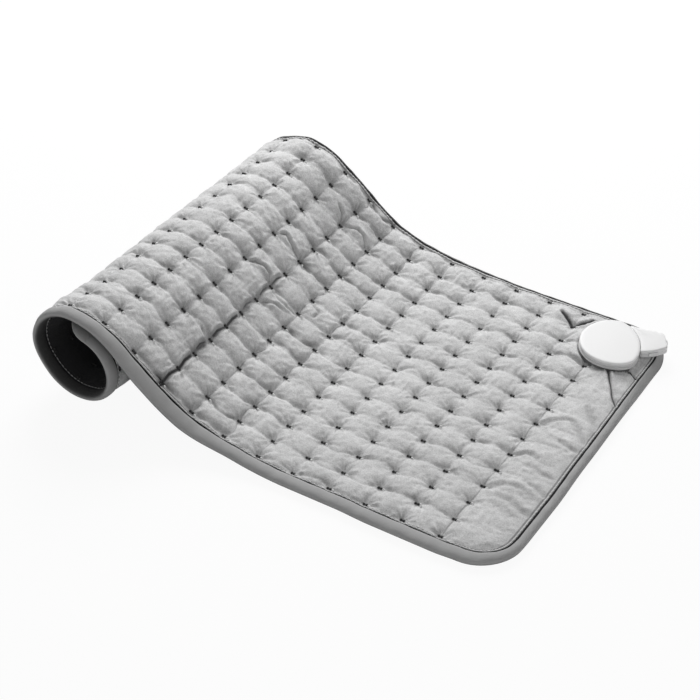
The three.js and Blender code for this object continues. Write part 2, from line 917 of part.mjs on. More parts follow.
function clampPlate() {
  const low = clampCover + fitGap;
  let plate = upright(clampRadius, low, low + clampThickness, 0, 0, roundStepCount);
  for (const [x, y] of screwPlaces()) {
    const hole = upright(screwShank + fitGap, low - cutOverrun, low + cutOverrun, x, y, screwSides);
    plate = plate.subtract(hole);
  }
  return plate;
}

// Screw with a pan head, standing on its tip, from the clamp plate up to the head.
function screwBody(shank, head, tipHeight, seatHeight, headHeight, x, y) {
  return turned([
    [0, tipHeight],
    [shank, tipHeight],
    [shank, seatHeight],
    [head, seatHeight],
    [head, seatHeight + headHeight / 2],
    [head * headCrownShare, seatHeight + headHeight],
    [0, seatHeight + headHeight],
  ], screwSides).translate([x, y, 0]);
}

function circuitBoard() {
  const radius = tubRadius - tubWall - fitGap;
  return upright(radius, boardHeight, boardHeight + boardThickness, 0, 0, roundStepCount);
}

function pinHeader() {
  const low = boardHeight + boardThickness + fitGap;
  const end = headerStart + headerLength;
  let header = plugBlock(headerStart, end, headerHalfWidth, low, low + headerHeight);
  for (const y of pinPlaces()) {
    header = header.subtract(lengthwise(
      pinDiameter / 2 + fitGap,
      headerStart - cutOverrun,
      end + cutOverrun,
      y,
      plugMiddle,
      pinSides,
    ));
  }
  return header;
}

function connectorPin(y) {
  return lengthwise(pinDiameter / 2, headerStart - pinTail, pinReach, y, plugMiddle, pinSides);
}

// Thermal fuse lying on the board behind the header, with a step at each end cap.
function thermalFuse() {
  const height = boardHeight + boardThickness + fitGap + fuseDiameter / 2;
  const half = fuseLength / 2;
  const neck = fuseDiameter / 2 - fitGap;
  const outline = [
    [0, -half],
    [neck, -half],
    [neck, fuseCapLength - half],
    [fuseDiameter / 2, fuseCapLength - half],
    [fuseDiameter / 2, half - fuseCapLength],
    [neck, half - fuseCapLength],
    [neck, half],
    [0, half],
  ];
  return turned(outline, screwSides).rotate([90, 0, 0]).translate([-fuseInset, 0, height]);
}

function plugInner() {
  return plugPrism(plugStart + plugWall, plugEnd - plugTipWall, plugWall, cavityLow, cavityHigh);
}

// Slots in the plug's front wall and sides, for the contact block and the two latches.
function plugOpenings() {
  const frontEnd = plugStart + 2 * plugWall;
  const front = plugBlock(plugStart - cutOverrun, frontEnd, mouthHalf, cavityLow, cavityHigh);
  const windowLow = plugMiddle - latchHeight / 2 - fitGap;
  const windowHigh = plugMiddle + latchHeight / 2 + fitGap;
  const windows = plugBlock(
    latchButtonStart - fitGap,
    latchButtonEnd + fitGap,
    plugRootHalf + cutOverrun,
    windowLow,
    windowHigh,
  ).subtract(plugBlock(
    latchButtonStart - cutOverrun,
    latchButtonEnd + cutOverrun,
    noseHalfWidth,
    windowLow - cutOverrun,
    windowHigh + cutOverrun,
  ));
  const gland = lengthwise(
    glandBore / 2,
    plugEnd - plugTipWall - fitGap,
    plugEnd + glandLength + cutOverrun,
    plugOffset,
    plugMiddle,
    glandSides,
  );
  return joined(front, windows, gland);
}

function plugShell(low, high) {
  const collar = lengthwise(
    glandCollar / 2,
    plugEnd - plugTipWall / 2,
    plugEnd + glandLength,
    plugOffset,
    plugMiddle,
    glandSides,
  );
  const whole = plugBody().add(collar).subtract(plugInner()).subtract(plugOpenings());
  const band = block(
    new THREE.Vector3(plugStart - cutOverrun, -2 * plugRootHalf, low),
    new THREE.Vector3(plugEnd + glandLength + cutOverrun, 2 * plugRootHalf, high),
  );
  return whole.intersect(band);
}

const plugScrewSeat = plugBottom + plugScrewSink + plugScrewHeadHeight + fitGap;

function plugScrewSpots() {
  return [-1, 1].map((side) => [plugScrewPlace, plugOffset + side * plugScrewSide]);
}

function plugLowerShell() {
  const top = plugMiddle - fitGap / 2;
  let shell = plugShell(plugBottom - cutOverrun, top);
  for (const [x, y] of plugScrewSpots()) {
    shell = shell.add(upright(plugScrewBoss, cavityLow - plugFloor / 2, top, x, y, glandSides));
    shell = shell.subtract(upright(
      plugScrewShank + fitGap,
      plugBottom - cutOverrun,
      plugTop,
      x,
      y,
      screwSides,
    ));
    shell = shell.subtract(upright(
      plugScrewHead + fitGap,
      plugBottom - cutOverrun,
      plugScrewSeat,
      x,
      y,
      screwSides,
    ));
  }
  return shell;
}

function plugUpperShell() {
  const bottom = plugMiddle + fitGap / 2;
  let shell = plugShell(bottom, plugTop + cutOverrun);
  for (const [x, y] of plugScrewSpots()) {
    shell = shell.add(upright(plugScrewBoss, bottom, cavityHigh + fitGap, x, y, glandSides));
    const hole = upright(plugScrewShank + fitGap, bottom - cutOverrun, cavityHigh, x, y, screwSides);
    shell = shell.subtract(hole);
  }
  return shell;
}

// The plug's screws go in from below, heads down.
function plugScrew(x, y) {
  const tip = cavityHigh - fitGap;
  const seat = plugScrewSeat - fitGap;
  return turned([
    [0, seat - plugScrewHeadHeight],
    [plugScrewHead * headCrownShare, seat - plugScrewHeadHeight],
    [plugScrewHead, seat - plugScrewHeadHeight / 2],
    [plugScrewHead, seat],
    [plugScrewShank, seat],
    [plugScrewShank, tip],
    [0, tip],
  ], screwSides).translate([x, y, 0]);
}

function contactBlock() {
  const low = cavityLow + fitGap;
  let nose = plugBlock(noseStart, noseEnd, noseHalfWidth, low, low + noseHeight);
  for (const y of pinPlaces()) {
    nose = nose.subtract(lengthwise(
      sleeveBore / 2 + sleeveWall + fitGap,
      noseStart - cutOverrun,
      noseEnd + cutOverrun,
      y,
      plugMiddle,
      pinSides,
    ));
  }
  return nose;
}

function contactSleeve(y) {
  const start = noseStart + fitGap;
  const end = start + sleeveLength;
  const outer = lengthwise(sleeveBore / 2 + sleeveWall, start, end, y, plugMiddle, pinSides);
  return outer.subtract(lengthwise(
    sleeveBore / 2,
    start - cutOverrun,
    end + cutOverrun,
    y,
    plugMiddle,
    pinSides,
  ));
}

// A latch: a spring arm beside the contact block and a button out through the side window.
function latch(side) {
  const armInner = armOuter - latchArm;
  const faceStart = plugHalf(latchButtonStart, 0) + latchProud;
  const faceEnd = plugHalf(latchButtonEnd, 0) + latchProud;
  const outline = new THREE.Shape([
    new THREE.Vector2(latchArmStart, armInner + latchArm / 2),
    new THREE.Vector2(latchArmStart + latchArm, armInner),
    new THREE.Vector2(latchArmEnd, armInner),
    new THREE.Vector2(latchArmEnd, armOuter),
    new THREE.Vector2(latchButtonEnd, armOuter),
    new THREE.Vector2(latchButtonEnd, faceEnd - latchProud / 2),
    new THREE.Vector2(latchButtonEnd - latchProud / 2, faceEnd),
    new THREE.Vector2(latchButtonStart + latchProud / 2, faceStart),
    new THREE.Vector2(latchButtonStart, faceStart - latchProud / 2),
    new THREE.Vector2(latchButtonStart, armOuter),
    new THREE.Vector2(latchArmStart, armOuter),
  ]);
  const arm = solid(new THREE.ExtrudeGeometry(outline, { depth: latchHeight, bevelEnabled: false }));
  const turnedArm = side > 0 ? arm : arm.mirror([0, 1, 0]);
  return turnedArm.translate([0, plugOffset, plugMiddle - latchHeight / 2]);
}

// Space that the connector and the plug need in the fabric below them.
function fabricClearance() {
  const low = wireHeight + innerTop - cutOverrun;
  const hole = upright(tubRadius + fitGap, low, plugTop, 0, 0, roundStepCount);
  const flange = upright(flangeRadius + fitGap, flangeHeight - fitGap, plugTop, 0, 0, roundStepCount);
  const plug = plugBlock(
    plugStart - 2 * fitGap,
    padWidth,
    plugRootHalf + fitGap + latchProud,
    plugBottom - fitGap,
    plugTop + cutOverrun,
  );
  return inPad(joined(hole, flange, plug));
}

// The part
const pad = new THREE.Group();
const root = new THREE.Group();

function material(key) {
  return new THREE.MeshStandardMaterial(finish[key]);
}

function place(parent, name, geometry, key) {
  const mesh = new THREE.Mesh(geometry, material(key));
  mesh.name = name;
  parent.add(mesh);
}

function addPadLayers() {
  const flatEnd = foldStation - fitGap / 2;
  const rollStart = foldStation + fitGap / 2;
  const rollEnd = padLength - edgeInset;
  const rest = belowRest();
  const clampPocket = inPad(upright(
    clampRadius + fitGap,
    clampCover,
    clampCover + cutOverrun,
    0,
    0,
    roundStepCount,
  ));
  const topFlat = solid(coverLoft(edgeInset, flatEnd, tuftTop, topCrown, innerTop))
    .subtract(fabricClearance());
  const bottomFlat = solid(coverLoft(edgeInset, flatEnd, tuftBottom, -bottomCrown, innerBottom))
    .subtract(rest)
    .subtract(clampPocket);
  const topRoll = solid(coverLoft(rollStart, rollEnd, tuftTop, topCrown, innerTop))
    .subtract(rest);
  const bottomRoll = solid(coverLoft(rollStart, rollEnd, tuftBottom, -bottomCrown, innerBottom))
    .subtract(rest);
  place(pad, 'top_cover_flat', geometryOf(topFlat), 'plush');
  place(pad, 'bottom_cover_flat', geometryOf(bottomFlat), 'plush');
  place(pad, 'top_cover_roll', geometryOf(topRoll), 'plush');
  place(pad, 'bottom_cover_roll', geometryOf(bottomRoll), 'plush');

  let feltFlat = solid(sheetLoft(bindingWidth + fitGap, flatEnd, feltTop, feltBottom));
  for (const [x, y] of screwPlaces()) {
    feltFlat = feltFlat.subtract(inPad(upright(screwShank + fitGap, 0, tubHeight, x, y, screwSides)));
  }
  const feltRoll = solid(sheetLoft(rollStart, padLength - bindingWidth - fitGap, feltTop, feltBottom));
  place(pad, 'wire_carrier_felt_flat', geometryOf(feltFlat), 'felt');
  place(pad, 'wire_carrier_felt_roll', geometryOf(feltRoll), 'felt');

  place(pad, 'edge_binding_flat', geometryOf(solid(bindingLoft(flatEnd, 0))), 'tape');
  place(pad, 'edge_binding_roll', geometryOf(solid(bindingLoft(rollStart, padLength))), 'tape');

  const [wireFlat, wireRoll] = splitRoute(withStations(roundedRoute(wireCorners())));
  const wireEnd = wireRoll.at(-1);
  const backwards = Math.sign(wireRoll.at(-2).y - wireEnd.y);
  const spliceMeets = wireEnd.clone();
  spliceMeets.y += backwards * (spliceLength + fitGap);
  const spliceStart = wireEnd.clone();
  spliceStart.y += backwards * spliceLength;
  wireRoll[wireRoll.length - 1] = spliceMeets;
  place(pad, 'heating_wire_flat', geometryOf(solid(tubeLoft(wireFlat, wireDiameter))), 'silicone');
  place(pad, 'heating_wire_roll', geometryOf(solid(tubeLoft(wireRoll, wireDiameter))), 'silicone');
  const splice = solid(tubeLoft([spliceStart, wireEnd], spliceDiameter));
  place(pad, 'wire_end_splice', geometryOf(splice), 'header');
}

function addConnector(parent) {
  place(parent, 'connector_base', geometryOf(connectorBase()), 'whiteShell');
  place(parent, 'connector_cap', geometryOf(connectorCap()), 'whiteShell');
  place(parent, 'clamp_plate', geometryOf(clampPlate()), 'clamp');
  screwPlaces().forEach(([x, y], index) => {
    const tip = clampCover + fitGap;
    const seat = tubHeight + tubFloor + fitGap / 2;
    const screw = screwBody(screwShank, screwHead, tip, seat, screwHeadHeight, x, y);
    place(parent, `base_screw_${index + 1}`, geometryOf(screw), 'steel');
  });
  place(parent, 'circuit_board', geometryOf(circuitBoard()), 'board');
  place(parent, 'pin_header', geometryOf(pinHeader()), 'header');
  pinPlaces().forEach((y, index) => {
    place(parent, `connector_pin_${index + 1}`, geometryOf(connectorPin(y)), 'contact');
  });
  place(parent, 'thermal_fuse', geometryOf(thermalFuse()), 'steel');
}

function addPlug(parent) {
  place(parent, 'plug_upper_shell', geometryOf(plugUpperShell()), 'plugShell');
  place(parent, 'plug_lower_shell', geometryOf(plugLowerShell()), 'plugShell');
  place(parent, 'plug_contact_block', geometryOf(contactBlock()), 'header');
  pinPlaces().forEach((y, index) => {
    place(parent, `plug_contact_${index + 1}`, geometryOf(contactSleeve(y)), 'contact');
  });
  plugScrewSpots().forEach(([x, y], index) => {
    place(parent, `plug_screw_${index + 1}`, geometryOf(plugScrew(x, y)), 'steel');
  });
  place(parent, 'latch_left', geometryOf(latch(1)), 'plugShell');
  place(parent, 'latch_right', geometryOf(latch(-1)), 'plugShell');
}

const connector = new THREE.Group();
connector.position.set(connectorAt.x, connectorAt.y, 0);
connector.rotation.z = plugTurn;

addPadLayers();
addConnector(connector);
addPlug(connector);
pad.add(connector);

// Origin: middle of the object's footprint, on the surface it lies on.
pad.updateMatrixWorld(true);
const box = new THREE.Box3().setFromObject(pad, true);
pad.position.set(-(box.min.x + box.max.x) / 2, -(box.min.y + box.max.y) / 2, -box.min.z);
root.add(pad);

export default root;
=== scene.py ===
# Quilted heating pad, rolled up at one end, with its disc connector and plug.
# Metres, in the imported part's frame: +X points to the connector's end, +Z up.
import json
import math

import bpy
import numpy as np
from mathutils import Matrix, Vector

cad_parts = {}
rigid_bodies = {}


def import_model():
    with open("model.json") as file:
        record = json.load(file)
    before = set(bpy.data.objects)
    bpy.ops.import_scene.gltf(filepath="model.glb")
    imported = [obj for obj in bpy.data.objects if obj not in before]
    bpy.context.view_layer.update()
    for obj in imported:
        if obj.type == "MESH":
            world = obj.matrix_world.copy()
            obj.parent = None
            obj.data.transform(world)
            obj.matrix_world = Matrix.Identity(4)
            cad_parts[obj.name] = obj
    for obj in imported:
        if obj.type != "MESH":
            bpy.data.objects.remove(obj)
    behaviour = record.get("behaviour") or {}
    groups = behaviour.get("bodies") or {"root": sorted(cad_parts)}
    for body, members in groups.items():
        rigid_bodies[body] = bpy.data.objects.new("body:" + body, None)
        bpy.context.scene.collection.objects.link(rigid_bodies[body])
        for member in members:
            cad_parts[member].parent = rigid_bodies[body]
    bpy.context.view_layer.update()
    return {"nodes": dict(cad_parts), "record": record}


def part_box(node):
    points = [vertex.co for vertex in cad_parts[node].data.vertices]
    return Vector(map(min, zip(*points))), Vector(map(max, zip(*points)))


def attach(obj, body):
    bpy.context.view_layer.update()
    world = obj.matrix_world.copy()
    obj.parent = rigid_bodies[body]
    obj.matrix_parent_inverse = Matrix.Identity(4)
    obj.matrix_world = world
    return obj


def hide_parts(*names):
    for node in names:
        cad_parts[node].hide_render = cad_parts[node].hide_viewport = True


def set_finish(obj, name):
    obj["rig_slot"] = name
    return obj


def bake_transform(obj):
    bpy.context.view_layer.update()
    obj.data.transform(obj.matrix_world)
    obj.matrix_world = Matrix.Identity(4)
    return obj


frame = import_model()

scene = bpy.context.scene
rng = np.random.default_rng(7)
print("frame:", len(frame["nodes"]), "nodes")


# Camera at the photograph's place.
cameraPlace = {
    "position": (0.56891, -0.92881, 0.85055),
    "target": (-0.01488, 0.00147, 0.006),
    "lens": 92.84,
    "sensor": 36,
}


def addCamera(place):
    data = bpy.data.cameras.new("viewCamera")
    data.lens = place["lens"]
    data.sensor_width = place["sensor"]
    camera = bpy.data.objects.new("viewCamera", data)
    camera.location = place["position"]
    aim = Vector(place["target"]) - Vector(place["position"])
    camera.rotation_euler = aim.to_track_quat("-Z", "Y").to_euler()
    scene.collection.objects.link(camera)
    scene.camera = camera


addCamera(cameraPlace)


# The pad lies along a middle line that starts at the connector's end and goes to -X. Places on
# it are (s, y, n): run along the line, place across, and height over the heating wire's middle.
pad = {
    "length": 0.587,
    "width": 0.306,
    "cornerRadius": 0.032,
    "discCornerRadius": 0.043,
    "tipCornerRadius": 0.022,
    "seamInset": 0.0074,
    "middleHeight": 0.004,
    "rollMiddleHeight": 0.005,
    "firstRow": 0.051,
    "rowPitch": 0.030,
    "rowCount": 17,
    "columnPitch": 0.020,
    "columnCount": 15,
    "flatRun": 0.168,
    "lift": (0.255, -13),  # radius and turn in degrees; a turn to the underside is positive
    "slope": (0.145, -25),
    "crest": (0.065, 41),
    "roll": (0.035, 199),
    "curl": (0.0285, 103),
    "tuck": (0.0265, 41),
    "lineStep": 0.0002,
}
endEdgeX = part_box("edge_binding_flat")[1].x
halfWidth = pad["width"] / 2


# Running sum that starts from nothing, and the run along a row of points.
def runningSum(steps):
    return np.concatenate([[0], np.cumsum(steps)])


def runAlong(points):
    return runningSum(np.linalg.norm(np.diff(points, axis=0), axis=1))


# Points of the middle line: the heading is the running sum of each piece's curvature, and the
# place is the running sum of the heading's cosine and sine.
def middleLine(slopeRun):
    runs, curvatures = [pad["flatRun"]], [0.0]
    for name in ("lift", "slope", "crest", "roll", "curl", "tuck"):
        radius, turn = pad[name]
        runs.append(radius * math.radians(abs(turn)))
        curvatures.append(math.copysign(1 / radius, turn))
        if name == "slope":
            runs.append(slopeRun)
            curvatures.append(0.0)
    runs.append(pad["length"])
    curvatures.append(0.0)
    s = np.arange(0, pad["length"] + pad["lineStep"], pad["lineStep"])
    middles = (s[1:] + s[:-1]) / 2
    piece = np.searchsorted(np.cumsum(runs), middles)
    heading = math.pi + runningSum(np.array(curvatures)[piece] * np.diff(s))
    midHeading = (heading[1:] + heading[:-1]) / 2
    x = endEdgeX + runningSum(np.cos(midHeading) * np.diff(s))
    z = pad["middleHeight"] + runningSum(np.sin(midHeading) * np.diff(s))
    return s, x, z, heading


def rollLow(line):
    heading = line[3]
    return line[2][(heading > 1.5 * math.pi) & (heading < 2.5 * math.pi)].min()


climb = math.radians(-pad["lift"][1] - pad["slope"][1])
slopeRun = (pad["rollMiddleHeight"] - rollLow(middleLine(0.0))) / math.sin(climb)
padLine = middleLine(slopeRun)


# A place (s, y, n) goes n square to the middle line from its point at s.
def layOnPad(s, y, n):
    lineS, lineX, lineZ, lineHeading = padLine
    heading = np.interp(s, lineS, lineHeading)
    x = np.interp(s, lineS, lineX) + n * np.sin(heading)
    z = np.interp(s, lineS, lineZ) - n * np.cos(heading)
    return np.stack([x, np.broadcast_to(y, x.shape), z], axis=-1)


def cornerRadius(s, y):
    nearEnd = np.where(y > 0, pad["discCornerRadius"], pad["cornerRadius"])
    return np.where(s < pad["length"] / 2, nearEnd, pad["tipCornerRadius"])


# Half width of the rounded outline at s on the side of y, drawn in by an inset: straight sides,
# and at both ends the circle of the corner.
def outlineHalf(s, y, inset):
    radius = cornerRadius(s, y) - inset
    fromEnd = np.minimum(s, pad["length"] - s) - inset
    rise = np.clip(radius - fromEnd, 0, radius)
    return halfWidth - inset - radius + np.sqrt(radius**2 - rise**2)


# Distance inwards from the rounded outline, positive inside it.
def distanceInside(s, y):
    radius = cornerRadius(s, y)
    cornerS = np.abs(s - pad["length"] / 2) - pad["length"] / 2 + radius
    cornerY = np.abs(y) - halfWidth + radius
    outside = np.hypot(np.maximum(cornerS, 0), np.maximum(cornerY, 0))
    return radius - outside - np.minimum(np.maximum(cornerS, cornerY), 0)


def smoothStep(value, low, high):
    t = np.clip((value - low) / (high - low), 0, 1)
    return t * t * (3 - 2 * t)


# The edges hang a little: along the back the tape turns down, on the slope the front margin
# spreads and sags, the connector's end is drawn in beside the plug, and the roll is wider in
# front than behind.
sag = {
    "backTurn": 0.78,
    "backTurnOnSlope": 1.3,
    "backLift": 0.0054,
    "farLift": 0.0020,
    "frontSpread": 0.0030,
    "frontDrop": 0.0024,
    "nearSpread": 0.0012,
    "endDraw": 0.0032,
    "endBulge": 0.0016,
    "rollFlare": 0.0030,
    "rollTaper": 0.0008,
    "tuckThinner": 0.45,
    "endTape": 0.0018,
    "frontTape": 0.0021,
}

# Where these fade in and out: start, full, last full and end, along the pad, and across it for
# the bulge.
reach = {
    "crest": (0.19, 0.28, 0.37, 0.42),
    "besideDisc": (0.02, 0.05, 0.12, 0.20),
    "backLift": (0.25, 0.31, 0.355, 0.385),
    "farLift": (0.13, 0.19, 0.26, 0.31),
    "slope": (0.215, 0.265, 0.30, 0.36),
    "nearEnd": (0.03, 0.05, 0.10, 0.13),
    "flare": (0.34, 0.385, 0.42, 0.45),
    "taper": (0.34, 0.375, 0.41, 0.44),
    "bulge": (-0.15, -0.11, -0.07, -0.02),
}


def between(value, start, full, last, end):
    return smoothStep(value, start, full) * (1 - smoothStep(value, last, end))


# Laid place of the cloth at (s, y, n). Each effect is its size in the dict above times smooth
# steps that fade it in and out along the pad and across it.
def layCloth(s, y, n):
    inside = distanceInside(s, y)
    beyondSeam = np.clip(pad["seamInset"] - inside, 0, None)
    nearSeam = np.clip(inside / pad["seamInset"], 0, 1)
    nearSeam = nearSeam * (1 - smoothStep(inside, pad["seamInset"], 0.018))
    front = smoothStep(-y, 0.125, 0.148)
    atEnd = (1 - smoothStep(s, 0.016, 0.030)) * (1 - smoothStep(-y, 0.112, 0.145))
    s = s - sag["endTape"] * nearSeam * atEnd
    y = y + sag["frontTape"] * nearSeam * front
    raised = np.maximum(between(s, *reach["crest"]), between(s, *reach["besideDisc"]))
    turn = sag["backTurn"] + (sag["backTurnOnSlope"] - sag["backTurn"]) * raised
    turned = turn * beyondSeam * smoothStep(y, 0.02, 0.13)
    lift = sum(sag[name] * between(s, *reach[name]) for name in ("backLift", "farLift"))
    lift = lift * smoothStep(y, 0.09, 0.14)
    thinner = smoothStep(s, 0.52, 0.56) * smoothStep(np.abs(y), 0.09, 0.14)
    onSlope = between(s, *reach["slope"]) * smoothStep(-y, 0.136, 0.152)
    nearEnd = between(s, *reach["nearEnd"]) * smoothStep(-y, 0.13, 0.15)
    flare = between(s, *reach["flare"]) * smoothStep(-y, 0.09, 0.15)
    taper = between(s, *reach["taper"]) * smoothStep(y, -0.02, 0.08)
    n = n * (1 - sag["tuckThinner"] * thinner) + lift - turned - sag["frontDrop"] * onSlope
    n = n + sag["rollFlare"] * flare - sag["rollTaper"] * taper
    points = layOnPad(s, y - sag["frontSpread"] * onSlope - sag["nearSpread"] * nearEnd, n)
    draw = sag["endDraw"] * smoothStep(y, -0.03, 0.11)
    draw = draw - sag["endBulge"] * between(y, *reach["bulge"])
    points[..., 0] -= draw * (1 - smoothStep(s, 0, 0.025))
    points[..., 2] = np.maximum(points[..., 2], 0.0001)
    return points


# Connector's own frame: middle of the disc, and the way the plug points out.
connector = {
    "inset": 0.039,
    "fromEdge": 0.0445,
    "turn": math.radians(33.5),
    "flangeRadius": 0.0286,
    "flangeUnderside": 0.0093,
    "chord": 0.0175,
    "plugOffset": 0.002,
}
connectorS = connector["inset"]
connectorY = halfWidth - connector["fromEdge"]
connectorX = endEdgeX - connectorS


# Places in the connector's frame, from places in the pad's plane.
def fromConnector(x, y):
    cosTurn, sinTurn = math.cos(connector["turn"]), math.sin(connector["turn"])
    dx, dy = x - connectorX, y - connectorY
    return dx * cosTurn + dy * sinTurn, dy * cosTurn - dx * sinTurn


# The same for places (s, y) on the pad, whose flat stretch carries the connector.
def besideConnector(s, y):
    return fromConnector(np.interp(s, padLine[0], padLine[1]), y)


# Places in the part's frame, from places in the connector's frame.
def toConnector(points):
    cosTurn, sinTurn = math.cos(connector["turn"]), math.sin(connector["turn"])
    u, v, z = points[..., 0], points[..., 1], points[..., 2]
    x = connectorX + u * cosTurn - v * sinTurn
    y = connectorY + u * sinTurn + v * cosTurn
    return np.stack([x, y, z], axis=-1)


# A mesh object at the origin, from points and faces of three or four corners. A closed one is
# turned inside out if its volume, the sum over its faces of a cone to the origin, is negative.
def makePiece(name, points, faces, closed=True, smooth=True):
    points = np.asarray(points, float).reshape(-1, 3)
    groups = [np.asarray(group, int) for group in (faces if isinstance(faces, list) else [faces])]
    volume = 0.0
    for group in groups:
        corner = [points[group[:, k]] for k in range(group.shape[1])]
        for second, third in zip(corner[1:-1], corner[2:]):
            volume += np.einsum("ij,ij->", corner[0], np.cross(second, third))
    if closed and volume < 0:
        groups = [group[:, ::-1] for group in groups]
    order = np.concatenate([group.ravel() for group in groups])
    corners = np.concatenate([np.full(len(group), group.shape[1]) for group in groups])
    mesh = bpy.data.meshes.new(name)
    mesh.vertices.add(len(points))
    mesh.vertices.foreach_set("co", points.astype(np.float32).ravel())
    mesh.loops.add(len(order))
    mesh.loops.foreach_set("vertex_index", order.astype(np.int32))
    mesh.polygons.add(len(corners))
    starts = np.cumsum(corners) - corners
    mesh.polygons.foreach_set("loop_start", starts.astype(np.int32))
    mesh.polygons.foreach_set("use_smooth", np.full(len(corners), smooth))
    mesh.update(calc_edges=True)
    mesh.validate()
    piece = bpy.data.objects.new(name, mesh)
    scene.collection.objects.link(piece)
    return piece


# Quads between neighbours on a grid of rows and columns; wrapping joins the last to the first.
def gridFaces(rows, columns, wrapRows=False, wrapColumns=False, start=0):
    r = np.arange(rows if wrapRows else rows - 1)[:, None]
    c = np.arange(columns if wrapColumns else columns - 1)[None, :]
    nextR, nextC = (r + 1) % rows, (c + 1) % columns
    here, ahead = r * columns, nextR * columns
    quads = np.stack([here + c, here + nextC, ahead + nextC, ahead + c], axis=-1)
    return quads.reshape(-1, 4) + start


# Indices round the edge of a grid, each once.
def gridRim(index):
    return np.concatenate([index[0, :-1], index[:-1, -1], index[-1, :0:-1], index[:0:-1, 0]])


# Faces of an upper grid, of a lower one whose points follow it, and of the wall between them.
def twoSidedFaces(rows, columns):
    count = rows * columns
    rim = gridRim(np.arange(count).reshape(rows, columns))
    wall = np.stack([rim, np.roll(rim, -1), np.roll(rim, -1) + count, rim + count], axis=-1)
    upper = gridFaces(rows, columns)[:, ::-1]
    return np.concatenate([upper, wall, gridFaces(rows, columns, start=count)])


# Faces of an upper grid, of a lower one with every second of its lines, and of the wall between.
def joinedGrids(rows, columns):
    count = rows * columns
    lowRows, lowColumns = (rows + 1) // 2, (columns + 1) // 2
    upper = gridRim(np.arange(count).reshape(rows, columns))
    lower = gridRim(np.arange(lowRows * lowColumns).reshape(lowRows, lowColumns)) + count
    first, middle, last = upper[::2], upper[1::2], np.roll(upper[::2], -1)
    following = np.roll(lower, -1)
    wall = [(first, middle, lower), (middle, last, following), (middle, following, lower)]
    wall = np.concatenate([np.stack(corners, axis=-1) for corners in wall])
    return [gridFaces(rows, columns)[:, ::-1], gridFaces(lowRows, lowColumns, start=count), wall]


def setUv(piece, uv):
    layer = piece.data.uv_layers.new(name="surface")
    index = np.zeros(len(piece.data.loops), np.int32)
    piece.data.loops.foreach_get("vertex_index", index)
    layer.data.foreach_set("uv", uv.reshape(-1, 2)[index].astype(np.float32).ravel())


def setMask(piece, name, values):
    mask = piece.data.attributes.new(name, "FLOAT", "POINT")
    mask.data.foreach_set("value", values.astype(np.float32).ravel())


# Shared noise over the pad, smooth between random values on a coarse grid.
def smoothNoise(s, y, cell, cellAcross=None):
    cellAcross = cellAcross or cell
    rows = int(pad["length"] / cell) + 5
    columns = int(pad["width"] / cellAcross) + 5
    values = rng.standard_normal((rows, columns))
    r, c = s / cell + 1.5, (y + halfWidth) / cellAcross + 1.5
    r0, c0 = np.floor(r).astype(int), np.floor(c).astype(int)
    tr, tc = smoothStep(r - r0, 0, 1), smoothStep(c - c0, 0, 1)
    near = values[r0, c0] * (1 - tc) + values[r0, c0 + 1] * tc
    far = values[r0 + 1, c0] * (1 - tc) + values[r0 + 1, c0 + 1] * tc
    return near * (1 - tr) + far * tr


# Quilted body of the pad: plush covers over wadding, drawn down at every tuft.
quilt = {
    "gridStep": 0.002,
    "edgeInsets": (0.0025, 0.0046, 0.0074),
    "tuftTop": 0.0006,
    "seamTop": 0.0010,
    "tuftBottom": -0.0026,
    "crown": 0.0038,
    "bottomCrownShare": 0.42,
    "growth": 0.11,
    "bendGrowth": 0.05,
    "unevenGrowth": 0.05,
    "pressure": 7.0,
    "simScale": 10.0,
    "frames": 20,
    "highest": 0.0086,
    "discPuff": 0.0014,
    "underPlug": 0.0036,
}


def quiltLines(length, low, high):
    fine = np.arange(low, high + quilt["gridStep"] / 2, quilt["gridStep"])
    ends = np.array(quilt["edgeInsets"])
    return np.concatenate([ends, fine, length - ends[::-1]])


def quiltGrid():
    lastRow = pad["firstRow"] + (pad["rowCount"] - 1) * pad["rowPitch"]
    outerColumn = (pad["columnCount"] - 1) / 2 * pad["columnPitch"]
    sLines = quiltLines(pad["length"], pad["firstRow"] - 0.042, lastRow + 0.046)
    yLines = quiltLines(pad["width"], halfWidth - outerColumn - 0.004, halfWidth + outerColumn + 0.004)
    share = (yLines - halfWidth) / (halfWidth - quilt["edgeInsets"][0])
    s = np.repeat(sLines[:, None], len(yLines), axis=1)
    return s, share[None, :] * outlineHalf(s, share[None, :], quilt["edgeInsets"][0])


# Places half way between a grid's own, by a cubic through the four nearest lines.
def finerGrid(values):
    for axis in (0, 1):
        lines = np.moveaxis(values, axis, 0)
        inner = (9 * (lines[1:-2] + lines[2:-1]) - lines[:-3] - lines[3:]) / 16
        ends = (lines[:1] + lines[1:2]) / 2, (lines[-2:-1] + lines[-1:]) / 2
        result = np.empty((2 * len(lines) - 1, *lines.shape[1:]))
        result[::2] = lines
        result[1::2] = np.concatenate([ends[0], inner, ends[1]])
        values = np.moveaxis(result, 0, axis)
    return values


# Row and column of the nearest tuft, and the place relative to it.
def toTuft(s, y):
    row = np.clip(np.round((s - pad["firstRow"]) / pad["rowPitch"]), 0, pad["rowCount"] - 1)
    half = (pad["columnCount"] - 1) / 2
    column = np.clip(np.round(y / pad["columnPitch"]), -half, half)
    ds = s - (pad["firstRow"] + row * pad["rowPitch"])
    return ds, y - column * pad["columnPitch"], row.astype(int), (column + half).astype(int)


def inConcaveBend(s):
    return smoothStep(s, 0.175, 0.225) * (1 - smoothStep(s, 0.285, 0.325))


